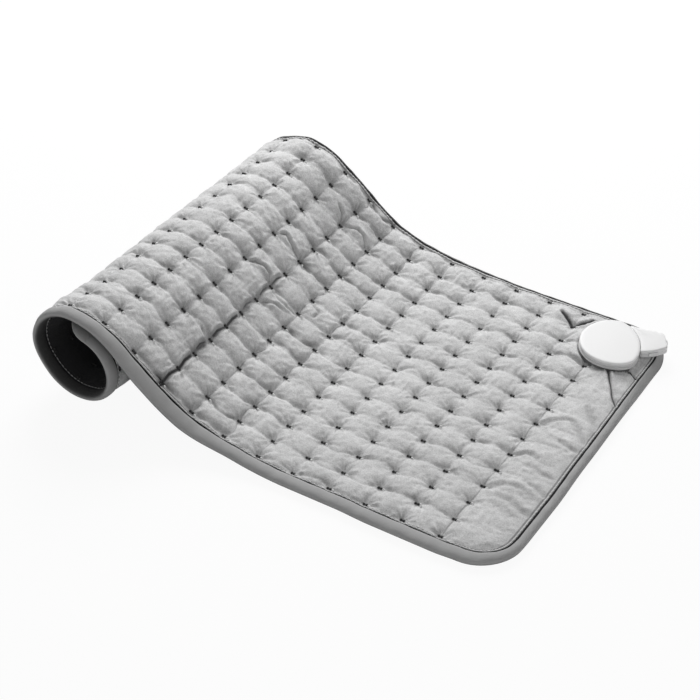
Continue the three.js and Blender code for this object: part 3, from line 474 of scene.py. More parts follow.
# Pillow before the simulation: a sine bump between rows, lower over the lines between tufts.
def plainQuilt(s, y):
    row = (s - pad["firstRow"]) / pad["rowPitch"]
    beyond = np.maximum(np.maximum(-row, row - pad["rowCount"] + 1), 0) * pad["rowPitch"]
    margin = np.clip(beyond / (pad["firstRow"] - pad["seamInset"]), 0, 1)
    across = np.abs(np.sin(np.pi * y / pad["columnPitch"]))
    midway = np.where(margin > 0, np.sin(np.pi * margin), np.abs(np.sin(np.pi * row))) ** 0.75
    pillow = midway * (0.62 + 0.38 * across) + (1 - midway) * 0.55 * across * (1 - margin)
    rise = smoothStep(distanceInside(s, y), pad["seamInset"], pad["seamInset"] + 0.01)
    return quilt["tuftTop"] + (quilt["crown"] + 0.0006) * pillow * rise


# Cloth held at the tufts, the seam and under the disc, a little longer than the space between
# them and blown up from below.
def simulateQuilt(s, y, n, held, growth):
    scale = quilt["simScale"]
    points = np.stack([s, y, n], axis=-1).reshape(-1, 3) * scale
    cloth = makePiece("quiltSimulation", points, gridFaces(*s.shape), closed=False)
    if cloth.data.polygons[0].normal[2] < 0:
        cloth.data.flip_normals()
    pins = cloth.vertex_groups.new(name="held")
    pins.add(np.flatnonzero(held.ravel()).tolist(), 1.0, "REPLACE")
    slack = cloth.vertex_groups.new(name="slack")
    levels = np.round(growth.ravel() / growth.max(), 2)
    for level in np.unique(levels):
        slack.add(np.flatnonzero(levels == level).tolist(), float(level), "REPLACE")
    modifier = cloth.modifiers.new("Cloth", "CLOTH")
    settings = modifier.settings
    settings.quality = 5
    settings.mass = 0.15
    settings.tension_stiffness = 30
    settings.compression_stiffness = 30
    settings.shear_stiffness = 10
    settings.bending_stiffness = 0.08
    settings.air_damping = 2.5
    settings.use_pressure = True
    settings.uniform_pressure_force = quilt["pressure"]
    settings.vertex_group_mass = "held"
    settings.pin_stiffness = 1
    settings.vertex_group_shrink = "slack"
    settings.shrink_min = 0
    settings.shrink_max = -float(growth.max())
    settings.effector_weights.gravity = 0
    modifier.collision_settings.use_collision = False
    modifier.collision_settings.use_self_collision = False
    modifier.point_cache.frame_start = 1
    modifier.point_cache.frame_end = quilt["frames"]
    for step in range(1, quilt["frames"] + 1):
        scene.frame_set(step)
    shown = cloth.evaluated_get(bpy.context.evaluated_depsgraph_get())
    result = np.zeros(s.size * 3, np.float32)
    shown.data.vertices.foreach_get("co", result)
    scene.frame_set(1)
    bpy.data.objects.remove(cloth)
    result = result.reshape(*s.shape, 3).astype(float) / scale
    return result[..., 0], result[..., 1], result[..., 2]


def underDisc(s, y, inset):
    u, v = besideConnector(s, y)
    radius = connector["flangeRadius"] - inset
    return (s < pad["flatRun"]) & (np.hypot(u, v) < radius) & (u < connector["chord"] - inset / 2)


# Distance outwards from the connector's round flange.
def discGap(s, y):
    u, v = besideConnector(s, y)
    gap = np.hypot(u, v) - connector["flangeRadius"]
    return gap + 0.02 * smoothStep(u, 0.006, connector["chord"]) + 0.02 * (s > pad["flatRun"])


def quiltTop(s, y):
    pressed = underDisc(s, y, 0.001)
    discLevel = connector["flangeUnderside"] - pad["middleHeight"] - 0.0004
    ds, dy = toTuft(s, y)[:2]
    atTuft = np.hypot(ds, dy) < quilt["gridStep"] / 4
    atSeam = distanceInside(s, y) < pad["seamInset"] + 0.0004
    n = plainQuilt(s, y)
    n = quilt["tuftTop"] + (n - quilt["tuftTop"]) * 0.6
    n[atSeam] = quilt["seamTop"]
    n[pressed] = discLevel
    growth = quilt["growth"] + quilt["bendGrowth"] * inConcaveBend(s)
    growth = growth + quilt["unevenGrowth"] * smoothNoise(s, y, 0.022)
    s, y, n = simulateQuilt(s, y, n, atTuft | atSeam | pressed, np.clip(growth, 0.01, None))
    return s, y, n


creases = {
    "drift": 0.0015,
    "rowWidth": 0.0016,
    "rowDepth": 0.0016,
    "bendDepth": 0.0036,
    "columnWidth": 0.0013,
    "columnDepth": 0.0018,
    "columnBow": 0.0026,
    "pit": 0.0009,
    "pucker": 0.00090,
    "puckerReach": 0.0052,
    "marginFold": 0.0006,
    "marginWave": 0.017,
    "wrinkle": 0.00034,
    "cloth": 0.00020,
    "nap": 0.00007,
    "seamFold": 0.0006,
    "deepRow": 8,
}

# Single folds of the margin, round the disc and in the bend, with one deep row there: run and place across,
# depth and width of the fold, half width of its line of painted shade, all in millimetres, and how dark that
# painted line is.
singleFolds = [
    ([(99, 133.5), (90, 124.5), (81.5, 119.5), (77, 124), (73, 127), (66, 136)], 2.2, 1.7, 1.1, 1.0),
    ([(38, 90), (34, 84.4), (27.7, 73.3), (20.2, 62.3), (14.1, 52.2), (7, 42)], 2.0, 1.2, 0.4, 0.9),
    ([(29, 91), (25.5, 89), (17.3, 86.1), (14, 85)], 1.4, 1.2, 0.35, 0.8),
    ([(21, 90.5), (17.5, 88.4), (9.1, 84.1), (5, 82)], 1.6, 1.2, 0.4, 1.0),
    ([(84, 94), (79.5, 104), (72, 114)], 0.9, 1.6, 0.3, 0.2),
    ([(70, 83), (59, 81.5), (50.8, 78)], 1.0, 1.8, 0.3, 0.2),
    (
        [(49, -1), (45.3, 3), (39.8, 9.8), (34.2, 13.3), (28.9, 13.9), (23.4, 9.4), (17.4, 3.8), (8, -7)],
        1.1, 2.2, 0.5, 0.22,
    ),
    ([(29, -9), (25, -11.4), (15.5, -14.5), (9, -16)], 0.8, 2.0, 0.4, 0.2),
    ([(51, -44), (47.4, -41), (41.8, -34.9), (36, -35.2), (28, -38)], 0.9, 2.1, 0.5, 0.25),
    ([(38, -47.5), (28.4, -46.9), (21.8, -50.3), (11, -49.5)], 0.9, 2.3, 0.4, 0.2),
    ([(31, -61), (26.2, -63.1), (16.9, -65.8), (6, -70.5)], 1.1, 2.5, 0.6, 0.25),
    ([(50, -83), (46.1, -79.2), (39.5, -73.8), (31.4, -71.2), (21, -72.5)], 1.0, 2.3, 0.5, 0.25),
    ([(42, -86), (37.6, -86.1), (27, -86.8), (16.9, -91.2), (5, -93)], 1.2, 2.8, 0.7, 0.25),
    ([(28, 38.5), (13, 18), (7, 9)], 0.9, 2.4, 0.4, 0.2),
    ([(290, -147), (292.5, -131), (291, -120), (293.5, -111), (291, -100)], 2.4, 1.7, 0.9, 0.95),
    ([(291, -99), (293.5, -90), (291.5, -81)], 2.2, 1.6, 0.6, 0.8),
    ([(291, -79), (293.5, -70), (291, -60), (292, -50), (291, -41)], 2.4, 1.7, 0.8, 0.85),
    ([(291, -38), (293.5, -30), (291.5, -21)], 1.8, 1.6, 0.5, 0.6),
    ([(291, -17), (293, -9), (291, 0), (293, 10), (291.5, 18)], 2.0, 1.6, 0.5, 0.7),
    ([(321, -2), (314.5, 4), (306.5, 7), (299.5, 6), (291, -2)], 1.3, 1.5, 0.35, 0.5),
    ([(319, 43), (314, 47), (307, 44), (300, 41), (292, 40)], 1.3, 1.5, 0.35, 0.5),
    ([(290, -22), (284, -16), (277.5, -11), (270, -10)], 1.2, 1.5, 0.35, 0.45),
    ([(292, -1), (278, -5), (268, -4), (261, -2)], 1.1, 1.4, 0.3, 0.35),
    ([(307, 112), (298.5, 109), (291, 101)], 1.2, 1.5, 0.35, 0.45),
    ([(291, 101), (287, 103), (279, 109), (272, 108), (261.5, 100)], 1.2, 1.5, 0.35, 0.45),
    ([(276.5, 121), (268.5, 122), (261.5, 119)], 1.1, 1.4, 0.3, 0.4),
    ([(305, -78), (296.5, -82), (290.5, -83)], 1.2, 1.4, 0.35, 0.45),
    ([(261, 18), (250, 13), (250, 3)], 1.0, 1.4, 0.3, 0.35),
]


# Slow drift of the creases away from the straight grid, none at the tufts.
def creaseDrift(s, y):
    ds, dy, row = toTuft(s, y)[:3]
    away = (1 - np.exp(-(ds**2 + dy**2) / 0.0045**2)) * (1 - 0.7 * (row == 0))
    drifts = [creases["drift"] * away * smoothNoise(s, y, 0.014) for way in range(2)]
    return ds + drifts[0], dy + drifts[1]


# Creases along the rows, sharp at the tufts, faint between them and deep in the concave bend, most of all
# along one row: their height, the distance to their line in millimetres, how dark the painted shade line in
# the crease is, and the painted shade on the pillow above it.
def rowCreases(s, y):
    ds, dy = creaseDrift(s, y)
    row = toTuft(s, y)[2]
    bend = inConcaveBend(s)
    deep = (row == creases["deepRow"]) * smoothStep(-y, -0.03, 0.02)
    broken = np.clip(0.6 + 0.5 * smoothNoise(s, y, 0.011), 0.1, 1.4)
    broken = np.maximum(broken, deep)
    patchy = np.clip(0.55 + 0.55 * smoothNoise(s, y, 0.0075), 0, 1)
    atTuft = np.exp(-((dy / 0.0050) ** 2))
    depth = creases["rowDepth"] * (0.25 + 0.75 * atTuft)
    depth = depth + (creases["bendDepth"] * (0.45 + 0.55 * atTuft) * broken - depth) * bend
    dark = np.maximum(0.14 * patchy + 0.34 * (row == 0), 0.4 * atTuft)
    dark = dark + (np.maximum(0.4 * patchy, 0.75 * atTuft) - dark) * bend
    height = -depth * np.exp(-np.abs(ds) / creases["rowWidth"])
    upslope = np.exp(-np.abs(ds - 0.001) / np.where(ds > 0.001, 0.0055, 0.0012))
    shade = upslope * bend * (0.14 + (0.4 + 0.4 * patchy) * deep)
    return height, ds * 1000, np.clip(dark, 0, 1) * np.exp(-((ds / 0.004) ** 2)), shade


# Creases between tufts of neighbouring rows, each bowed to its own side, with painted shade on the side of the
# pillow that looks away from the light.
def columnCreases(s, y):
    position = np.clip((s - pad["firstRow"]) / pad["rowPitch"], 0, pad["rowCount"] - 1.001)
    row, t = np.floor(position).astype(int), position - np.floor(position)
    dy = creaseDrift(s, y)[1]
    column = toTuft(s, y)[3]
    bow, strength = rng.standard_normal((2, pad["rowCount"], pad["columnCount"]))
    bow = creases["columnBow"] * bow
    strength = np.clip(1 + 0.6 * strength, 0.1, 2.2)
    offset = dy - bow[row, column] * np.sin(np.pi * t) ** 2
    sharp = (0.22 + 0.78 * np.abs(np.cos(np.pi * t)) ** 1.5) * strength[row, column]
    sharp = sharp * (1 + 0.6 * inConcaveBend(s))
    inRows = (s > pad["firstRow"]) & (s < pad["firstRow"] + (pad["rowCount"] - 1) * pad["rowPitch"])
    height = -creases["columnDepth"] * sharp * np.exp(-np.abs(offset) / creases["columnWidth"]) * inRows
    side = np.exp(-np.abs(offset - 0.0008) / np.where(offset > 0.0008, 0.0034, 0.0008))
    return height, 0.26 * sharp * side * inRows


# Short folds that radiate from each tuft round a pit: waves round it, each tuft with phases of
# its own.
def puckers(s, y):
    ds, dy, row, column = toTuft(s, y)
    radius, angle = np.hypot(ds, dy), np.arctan2(dy, ds)
    phases = rng.uniform(0, 2 * np.pi, (3, pad["rowCount"], pad["columnCount"]))
    wave = 0.0
    for count, phase in zip((5, 8, 12), phases):
        wave = wave + np.cos(count * angle + phase[row, column])
    fade = np.exp(-radius / creases["puckerReach"]) * radius / (radius + 0.001)
    return creases["pucker"] * wave * fade - creases["pit"] * np.exp(-(radius / 0.0026) ** 2)


# Folds of the wide margin at the connector's end, bent towards the front as they reach the seam.
def marginFolds(s, y):
    share = np.clip((pad["firstRow"] - s) / (pad["firstRow"] - pad["seamInset"]), 0, 1)
    warped = y + 0.026 * share**1.5 + 0.004 * smoothNoise(s, y, 0.02)
    wave = np.cos(2 * np.pi * warped / creases["marginWave"] + 2.4 * smoothNoise(s, y, 0.03))
    fold = (0.5 + 0.5 * wave) ** 2.2 * np.clip(0.5 + 0.8 * smoothNoise(s, y, 0.02), 0, 1.6)
    return creases["marginFold"] * (fold - 0.4) * np.sin(np.pi * share) ** 0.7


# Distance to a path of straight pieces, positive on one side of it, and the run left to the
# nearer end of the path.
def placeByPath(s, y, path):
    lengths = np.hypot(*np.diff(path, axis=0).T)
    starts = np.cumsum(lengths) - lengths
    side, left = np.full(s.shape, 1.0), np.zeros(s.shape)
    for (s0, y0), (s1, y1), length, start in zip(path[:-1], path[1:], lengths, starts):
        along = np.clip(((s - s0) * (s1 - s0) + (y - y0) * (y1 - y0)) / length**2, 0, 1)
        gapS, gapY = s - s0 - along * (s1 - s0), y - y0 - along * (y1 - y0)
        distance = np.hypot(gapS, gapY) * np.where(gapS * (y1 - y0) > gapY * (s1 - s0), 1, -1)
        closer = np.abs(distance) < np.abs(side)
        side = np.where(closer, distance, side)
        run = start + along * length
        left = np.where(closer, np.minimum(run, lengths.sum() - run), left)
    return side, left


# Each single fold is a valley between two low ridges: height, distance to the nearest fold's line, how dark
# its painted shade line is, and the softer painted shade beside it.
def placedFolds(s, y):
    wanderS, wanderY = (0.0006 * smoothNoise(s, y, 0.016) for side in range(2))
    height, dark, shade = np.zeros(s.shape), np.zeros(s.shape), np.zeros(s.shape)
    nearest = np.full(s.shape, 1.0)
    for path, depth, width, lineHalf, line in singleFolds:
        side, left = placeByPath(s + wanderS, y + wanderY, np.array(path) / 1000)
        taper = smoothStep(left, 0, 0.004)
        share = np.abs(side) * 1000 / width
        valley = np.exp(-(share**2))
        height = height + depth / 1000 * taper * (0.5 * np.exp(-((share - 1.8) ** 2)) - valley)
        shade = np.maximum(shade, (0.16 + 0.3 * line) * valley * taper)
        closer = np.abs(side) < np.abs(nearest)
        nearest = np.where(closer, side * 0.35 / lineHalf, nearest)
        dark = np.where(closer, line * taper * np.exp(-((share / 1.6) ** 2)), dark)
    return height, nearest * 1000, dark, shade


# Small wrinkles, longer across the pad than along it, over the nap of the cloth.
def wrinkles(s, y):
    ridged = 0.7 - np.abs(smoothNoise(s, y, 0.0034, 0.012))
    uneven = np.clip(0.6 + 0.7 * smoothNoise(s, y, 0.018), 0, 1.8)
    fine = creases["cloth"] * smoothNoise(s, y, 0.003) + creases["nap"] * smoothNoise(s, y, 0.0012)
    return creases["wrinkle"] * ridged * uneven + fine


# Cloth kept low under the plug, which lies over it.
def clearPlug(s, y, n):
    u, v = besideConnector(s, y)
    over = smoothStep(u, connector["chord"] - 0.004, connector["chord"] + 0.001)
    over = over * (1 - smoothStep(np.abs(v - connector["plugOffset"]), 0.0155, 0.0205))
    return n - np.maximum(n - quilt["underPlug"], 0) * over * (s < pad["flatRun"])


# Painted shade: nearly black in the pits, and a fan of streaks of painted shade on the side of each tuft that
# looks away from the light.
def quiltShade(s, y, columnShade, foldShade):
    ds, dy, row, column = toTuft(s, y)
    radius, angle = np.hypot(ds, dy), np.arctan2(dy, ds)
    phase = rng.uniform(0, 2 * np.pi, (pad["rowCount"], pad["columnCount"]))[row, column]
    streaks = 0.72 + 0.3 * np.cos(11 * angle + phase) + 0.2 * np.cos(19 * angle + 2 * phase)
    uneven = np.clip(0.85 + 0.4 * smoothNoise(s, y, 0.02), 0.2, 1.5)
    shade = np.exp(-((ds / 0.0026) ** 2) - (dy / 0.0023) ** 2)
    fade = np.exp(-radius / 0.0054) * radius / (radius + 0.001)
    wedge = (0.5 + 0.5 * np.cos(angle - 1.1)) ** 3 * fade
    wedge = 0.84 * wedge * streaks * uneven * (1 + 0.4 * inConcaveBend(s))
    shade = np.maximum(shade, np.maximum(wedge, columnShade * uneven))
    return np.clip(np.maximum(shade, foldShade), 0, 1)


# Height of the underside below a place of the upper side at height n.
def bottomLevel(n):
    return quilt["tuftBottom"] - np.clip(n - quilt["tuftTop"], 0, None) * quilt["bottomCrownShare"]


def buildQuilt():
    coarseS, coarseY = quiltGrid()
    s0, y0 = finerGrid(coarseS), finerGrid(coarseY)
    s, y, n = (finerGrid(values) for values in quiltTop(coarseS, coarseY))
    print("cloth height:", n.min(), np.median(n), n.max())
    inside = distanceInside(s0, y0)
    free = smoothStep(inside, pad["seamInset"] + 0.0005, pad["seamInset"] + 0.006)
    nearFree = smoothStep(inside, pad["seamInset"] + 0.0012, pad["seamInset"] + 0.0050)
    pressed = underDisc(s0, y0, 0.0005)
    folds, foldSide, foldDark, foldShade = placedFolds(s0, y0)
    rows, rowSide, rowDark, rowShade = rowCreases(s0, y0)
    columns, columnShade = columnCreases(s0, y0)
    detail = rows + columns + puckers(s0, y0) + marginFolds(s0, y0)
    seamFold = creases["seamFold"] * np.exp(-(((inside - pad["seamInset"] - 0.0033) / 0.0009) ** 2))
    detail = detail * free + (folds + wrinkles(s0, y0) - seamFold) * nearFree
    gap = discGap(s0, y0)
    puff = quilt["discPuff"] * between(gap, 0, 0.0015, 0.003, 0.012) * nearFree
    n = np.clip(n + np.where(pressed, 0, detail + puff), 0.0003, quilt["highest"])
    n = np.where(pressed, n, clearPlug(s, y, n))
    bottom = bottomLevel(n)
    bottom = np.where(inside < pad["seamInset"] + 0.0004, quilt["tuftBottom"], bottom)
    bottom = np.where(pressed, quilt["tuftBottom"] - 0.001, bottom)
    upper = layCloth(s, y, n)
    lower = layCloth(s, y, bottom)[::2, ::2]
    points = np.concatenate([upper.reshape(-1, 3), lower.reshape(-1, 3)])
    piece = makePiece("quilted_pad", points, joinedGrids(*s.shape))
    nearBack = smoothStep(y0, 0.135, 0.145) * (1 - smoothStep(s0, 0.15, 0.22))
    # Masks for painted shade in the plush colour: pits, wedges and crease shade, crease lines, the seam's gap,
    # and a painted shadow round the disc's flange.
    masks = {
        "paintedShade": quiltShade(s0, y0, np.maximum(columnShade, rowShade), foldShade),
        "rowSide": rowSide,
        "rowDark": rowDark,
        "foldSide": foldSide,
        "foldDark": foldDark,
        "seam": (inside - pad["seamInset"]) * 1000 + 0.9 * nearBack,
        "disc": gap * 1000 + 1.2 * (1 - smoothStep(s0, 0.046, 0.060)),
    }
    for name, values in masks.items():
        setMask(piece, name, np.concatenate([values.ravel(), values[::2, ::2].ravel()]))
    side = np.zeros(len(points))
    side[s.size:] = 1
    setMask(piece, "underside", side)
    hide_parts("top_cover_flat", "bottom_cover_flat", "top_cover_roll", "bottom_cover_roll")
    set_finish(piece, "plush")
    print("quilted body:", len(piece.data.polygons), "faces")
    return piece, s0, y0, n


quiltedPad, gridS, gridY, gridTop = buildQuilt()


# Edge binding: tape folded round the whole edge.
binding = {
    "thickness": 0.0009,
    "legTop": 0.0019,
    "legBottom": -0.0029,
    "roundReach": 0.0046,
    "roundDrop": 0.0030,
    "spacing": 0.0015,
    "stitchInset": 0.0096,
    "stitchPitch": 0.0036,
    "stitchLength": 0.0033,
    "threadRadius": 0.00038,
}


# The outline as four sides and four quarter arcs: places, outward directions and run so far.
def padOutline(spacing):
    length, tip = pad["length"], pad["tipCornerRadius"]
    front, back = pad["cornerRadius"], pad["discCornerRadius"]
    corners = [
        (length - tip, tip - halfWidth, tip, -90),
        (length - tip, halfWidth - tip, tip, 0),
        (back, halfWidth - back, back, 90),
        (front, front - halfWidth, front, 180),
    ]
    places, outwards = [], []
    for index, (s, y, radius, start) in enumerate(corners):
        steps = max(int(radius * math.pi / 2 / spacing), 6)
        angle = np.radians(start + 90 * np.arange(steps) / steps)
        direction = np.stack([np.cos(angle), np.sin(angle)], axis=-1)
        arc = np.array([s, y]) + radius * direction
        end = math.radians(start + 90)
        endDirection = np.array([math.cos(end), math.sin(end)])
        sideStart = np.array([s, y]) + radius * endDirection
        nextS, nextY, nextRadius = corners[(index + 1) % 4][:3]
        sideEnd = np.array([nextS, nextY]) + nextRadius * endDirection
        count = int(np.linalg.norm(sideEnd - sideStart) / spacing)
        share = (np.arange(count) / count)[:, None]
        places += [arc, sideStart + (sideEnd - sideStart) * share]
        outwards += [direction, np.repeat(endDirection[None], count, axis=0)]
    places, outwards = np.concatenate(places), np.concatenate(outwards)
    run = runAlong(places)
    total = run[-1] + np.linalg.norm(places[0] - places[-1])
    return places, outwards, run, total


# Section of the tape from its inner edge on top, round the outside, to its inner edge below and
# back along its inside: rows of (inset, n).
def bindingSection():
    width, legTop, legBottom = pad["seamInset"], binding["legTop"], binding["legBottom"]
    top, bottom = legTop + binding["thickness"], legBottom - binding["thickness"]
    legInsets = np.array([width, width - 0.0002, width - 0.0006, 0.0061, 0.0053])
    legDrops = np.array([0.00095, 0.0005, 0.00026, 0.00006, 0])
    angle = np.radians(np.linspace(0, 90, 9))
    arcInsets = binding["roundReach"] * (1 - np.sin(angle))
    arcDrops = binding["roundDrop"] * (1 - np.cos(angle))
    insets, drops = np.concatenate([legInsets, arcInsets]), np.concatenate([legDrops, arcDrops])
    upper = np.stack([insets, top - drops], axis=-1)
    lower = np.stack([upper[::-1, 0], top + bottom - upper[::-1, 1]], axis=-1)
    inside = np.array([
        [width, legBottom],
        [0.0040, legBottom],
        [0.0022, legBottom + 0.0010],
        [0.0022, legTop - 0.0014],
        [0.0040, legTop - 0.0005],
        [width, legTop - 0.0003],
    ])
    return np.concatenate([upper, lower, inside])


# The tape: its section carried along the outline, with two slow ripples of its height.
def buildBinding():
    places, outwards, run = padOutline(binding["spacing"])[:3]
    section = bindingSection()
    inset, level = section[:, 0], section[:, 1]
    s = places[:, 0, None] - outwards[:, 0, None] * inset
    y = places[:, 1, None] - outwards[:, 1, None] * inset
    ripple = 0.00012 * np.sin(2 * np.pi * run / 0.023) + 0.0001 * np.sin(2 * np.pi * run / 0.0137 + 1)
    n = level + ripple[:, None] * (inset > 0.001)
    points = layCloth(np.clip(s, 0, pad["length"]), y, n)
    rings, sides = s.shape
    piece = makePiece("edge_binding", points, gridFaces(rings, sides, True, True))
    # The tape's lower leg is painted dark, as shade.
    underShade = smoothStep(-level, -0.0002, 0.0030)
    setMask(piece, "underside", np.repeat(underShade[None], rings, axis=0))
    setUv(piece, np.stack(np.broadcast_arrays(run[:, None], runAlong(section)[None, :]), axis=-1))
    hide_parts("edge_binding_flat", "edge_binding_roll")
    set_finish(piece, "tape")
    print("binding:", len(piece.data.polygons), "faces")
    return piece


edgeBinding = buildBinding()


# Short threads, each a thin bar with closed ends that dips at both: rings of points round a
# centre line, at places with a direction along and an upward one.
def threadBars(middles, along, up, length, radius, sides=6, rings=5):
    t = np.linspace(-1, 1, rings)
    thick = np.sqrt(np.clip(1 - np.abs(t) ** 3, 0.05, None)) * radius
    drop = -radius * 1.1 * t**2
    angle = 2 * np.pi * np.arange(sides) / sides
    aside = np.cross(up, along)
    centre = middles[:, None] + along[:, None] * (t * length / 2)[:, None] + up[:, None] * drop[:, None]
    spoke = aside[:, None] * np.cos(angle)[:, None] + up[:, None] * np.sin(angle)[:, None]
    points = centre[:, :, None] + spoke[:, None] * thick[None, :, None, None]
    quads = gridFaces(rings, sides, wrapColumns=True)
    fan = np.stack([np.zeros(sides - 2, int), np.arange(2, sides), np.arange(1, sides - 1)], axis=-1)
    lastRing = (rings - 1) * sides
    triangles = np.concatenate([quads[:, [0, 2, 1]], quads[:, [0, 3, 2]], fan[:, ::-1], fan + lastRing])
    offsets = np.arange(len(middles))[:, None, None] * rings * sides
    return points.reshape(-1, 3), (triangles[None] + offsets).reshape(-1, 3)


# Directions of the laid pad at (s, y): along s, across and up.
def padDirections(s, y, n):
    step = 0.0004
    along = layOnPad(s + step, y, n) - layOnPad(s - step, y, n)
    along /= np.linalg.norm(along, axis=-1, keepdims=True)
    up = layOnPad(s, y, n + step) - layOnPad(s, y, n)
    up /= np.linalg.norm(up, axis=-1, keepdims=True)
    return along, up


# Height of the quilted body's upper side at places (s, y), from its nearest point.
def topLevelAt(s, y):
    rowIndex = np.abs(gridS[:, 0][:, None] - s).argmin(0)
    columnIndex = np.abs(gridY[rowIndex] - y[:, None]).argmin(1)
    return gridTop[rowIndex, columnIndex]


# Threads on both sides of the pad, at places (s, y) and turned by an angle from the run along it.
def buildThreads(name, s, y, turn, length, radius, lift, sides=(1, -1)):
    turn = turn[:, None]
    sets = []
    for side in sides:
        n = topLevelAt(s, y) + lift if side > 0 else bottomLevel(topLevelAt(s, y)) - lift
        along, up = padDirections(s, y, n)
        across = np.broadcast_to([0.0, 1.0, 0.0], along.shape)
        direction = along * np.cos(turn) + across * np.sin(turn)
        sets.append(threadBars(layCloth(s, y, n), direction, up * side, length, radius))
    points = np.concatenate([threads[0] for threads in sets])
    points[:, 2] = np.maximum(points[:, 2], 0)
    count = len(sets[0][0])
    faces = np.concatenate([threads[1] + index * count for index, threads in enumerate(sets)])
    piece = makePiece(name, points, faces)
    print(name, len(s), "on each of", len(sets), "sides")
    return piece


# One line of stitches beside the tape on each side of the pad, an even pitch along the outline.
def buildSeamStitches():
    places, outwards, run, total = padOutline(0.0002)
    count = int(total / binding["stitchPitch"])
    targets = (np.arange(count) + 0.5) * total / count
    index = np.searchsorted(run, targets) - 1
    s = places[index, 0] - outwards[index, 0] * binding["stitchInset"]
    y = places[index, 1] - outwards[index, 1] * binding["stitchInset"]
    turn = np.arctan2(outwards[index, 0], -outwards[index, 1])
    free = ~underDisc(s, y, -0.002)
    radius = binding["threadRadius"]
    stitches = s[free], y[free], turn[free], binding["stitchLength"], radius, radius * 0.8
    pieces = [
        buildThreads("seam_stitches", *stitches, sides=(1,)),
        buildThreads("seam_stitches_under", *stitches, sides=(-1,)),
    ]
    for piece in pieces:
        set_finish(piece, "tape")
    return pieces


seamStitches, underStitches = buildSeamStitches()


# Tufts: in each pit of the quilting two short loops of thread side by side, near black as thread and as
# painted shade of the pit, and beside them on the upper side a pale thread end placed as a painted glint.
tack = {
    "loopLength": 0.0027,
    "loopRadius": 0.00092,
    "loopApart": 0.0012,
    "endLength": 0.0028,
    "endRadius": 0.00060,
    "endApart": 0.0034,
    "endAside": 0.0012,
    "lift": 0.0003,
    "endLift": 0.0013,
}


def buildTacks():
    rows = pad["firstRow"] + np.arange(pad["rowCount"]) * pad["rowPitch"]
    columns = (np.arange(pad["columnCount"]) - (pad["columnCount"] - 1) / 2) * pad["columnPitch"]
    s, y = (values.ravel() for values in np.meshgrid(rows, columns, indexing="ij"))
    free = ~underDisc(s, y, -0.002)
    s, y = s[free], y[free]
    loopS = np.concatenate([s - tack["loopApart"], s + tack["loopApart"]])
    turn = np.radians(90 + 16 * rng.standard_normal(len(loopS)))
    size = tack["loopLength"], tack["loopRadius"], tack["lift"]
    loops = buildThreads("tuft_tacks", loopS, np.tile(y, 2), turn, *size)
    endS = s - tack["endApart"] + 0.0003 * rng.standard_normal(len(s))
    endTurn = np.radians(18 * rng.standard_normal(len(s)))
    size = tack["endLength"], tack["endRadius"], tack["endLift"]
    ends = buildThreads("tuft_glint_threads", endS, y - tack["endAside"], endTurn, *size, sides=(1,))
    for piece in (loops, ends):
        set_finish(piece, "plush")
    return loops, ends


tuftTacks, glintEnds = buildTacks()


# Felt carrier inside the pad, and the heating wire sewn to it in runs between the rows.
heater = {
    "feltInset": 0.0085,
    "feltTop": -0.0009,
    "feltThickness": 0.0004,
    "feltStep": 0.0045,
    "wireRadius": 0.0006,
    "wireSides": 10,
    "wireStep": 0.003,
    "turnRadius": 0.008,
    "edgeInset": 0.024,
    "riserFromMiddle": 0.0085,
    "rise": 0.0034,
    "spliceLength": 0.012,
    "spliceRadius": 0.0008,
}


# Two grids that follow the pad's outline, one under the other, with slow waves of their height.
def buildFelt():
    inset = heater["feltInset"]
    rows = int((pad["length"] - 2 * inset) / heater["feltStep"])
    columns = int((pad["width"] - 2 * inset) / heater["feltStep"])
    s = np.repeat(np.linspace(inset, pad["length"] - inset, rows)[:, None], columns, axis=1)
    share = np.linspace(-1, 1, columns)[None, :]
    y = share * outlineHalf(s, share, inset)
    waves = 0.00012 * smoothNoise(s, y, 0.02)
    top = layCloth(s, y, heater["feltTop"] + waves)
    bottom = layCloth(s, y, heater["feltTop"] - heater["feltThickness"] + waves)
    points = np.concatenate([top.reshape(-1, 3), bottom.reshape(-1, 3)])
    piece = makePiece("wire_carrier_felt", points, twoSidedFaces(rows, columns))
    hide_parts("wire_carrier_felt_flat", "wire_carrier_felt_roll")
    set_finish(piece, "felt")
    return piece


# Tube of rings round a laid route; each ring is square to the route's direction there.
def tubeAlong(name, route, radius, sides):
    ahead = np.gradient(route, axis=0)
    ahead /= np.linalg.norm(ahead, axis=1, keepdims=True)
    guide = np.where(np.abs(ahead[:, 2:]) > 0.9, [[1.0, 0.0, 0.0]], [[0.0, 0.0, 1.0]])
    aside = np.cross(ahead, guide)
    aside /= np.linalg.norm(aside, axis=1, keepdims=True)
    over = np.cross(aside, ahead)
    angle = 2 * np.pi * np.arange(sides) / sides
    spoke = aside[:, None] * np.cos(angle)[:, None] + over[:, None] * np.sin(angle)[:, None]
    rings = route[:, None] + spoke * np.reshape(radius, (-1, 1, 1))
    ends = np.stack([route[0], route[-1]])
    points = np.concatenate([rings.reshape(-1, 3), ends])
    first, last = len(points) - 2, len(points) - 1
    ring = np.arange(sides)
    following = (ring + 1) % sides
    lastRing = (len(route) - 1) * sides
    fans = np.concatenate([
        np.stack([following, ring, np.full(sides, first)], axis=-1),
        np.stack([ring + lastRing, following + lastRing, np.full(sides, last)], axis=-1),
    ])
    quads = gridFaces(len(route), sides, wrapColumns=True)
    triangles = np.concatenate([quads[:, [0, 1, 2]], quads[:, [0, 2, 3]], fans])
    return makePiece(name, points, triangles)


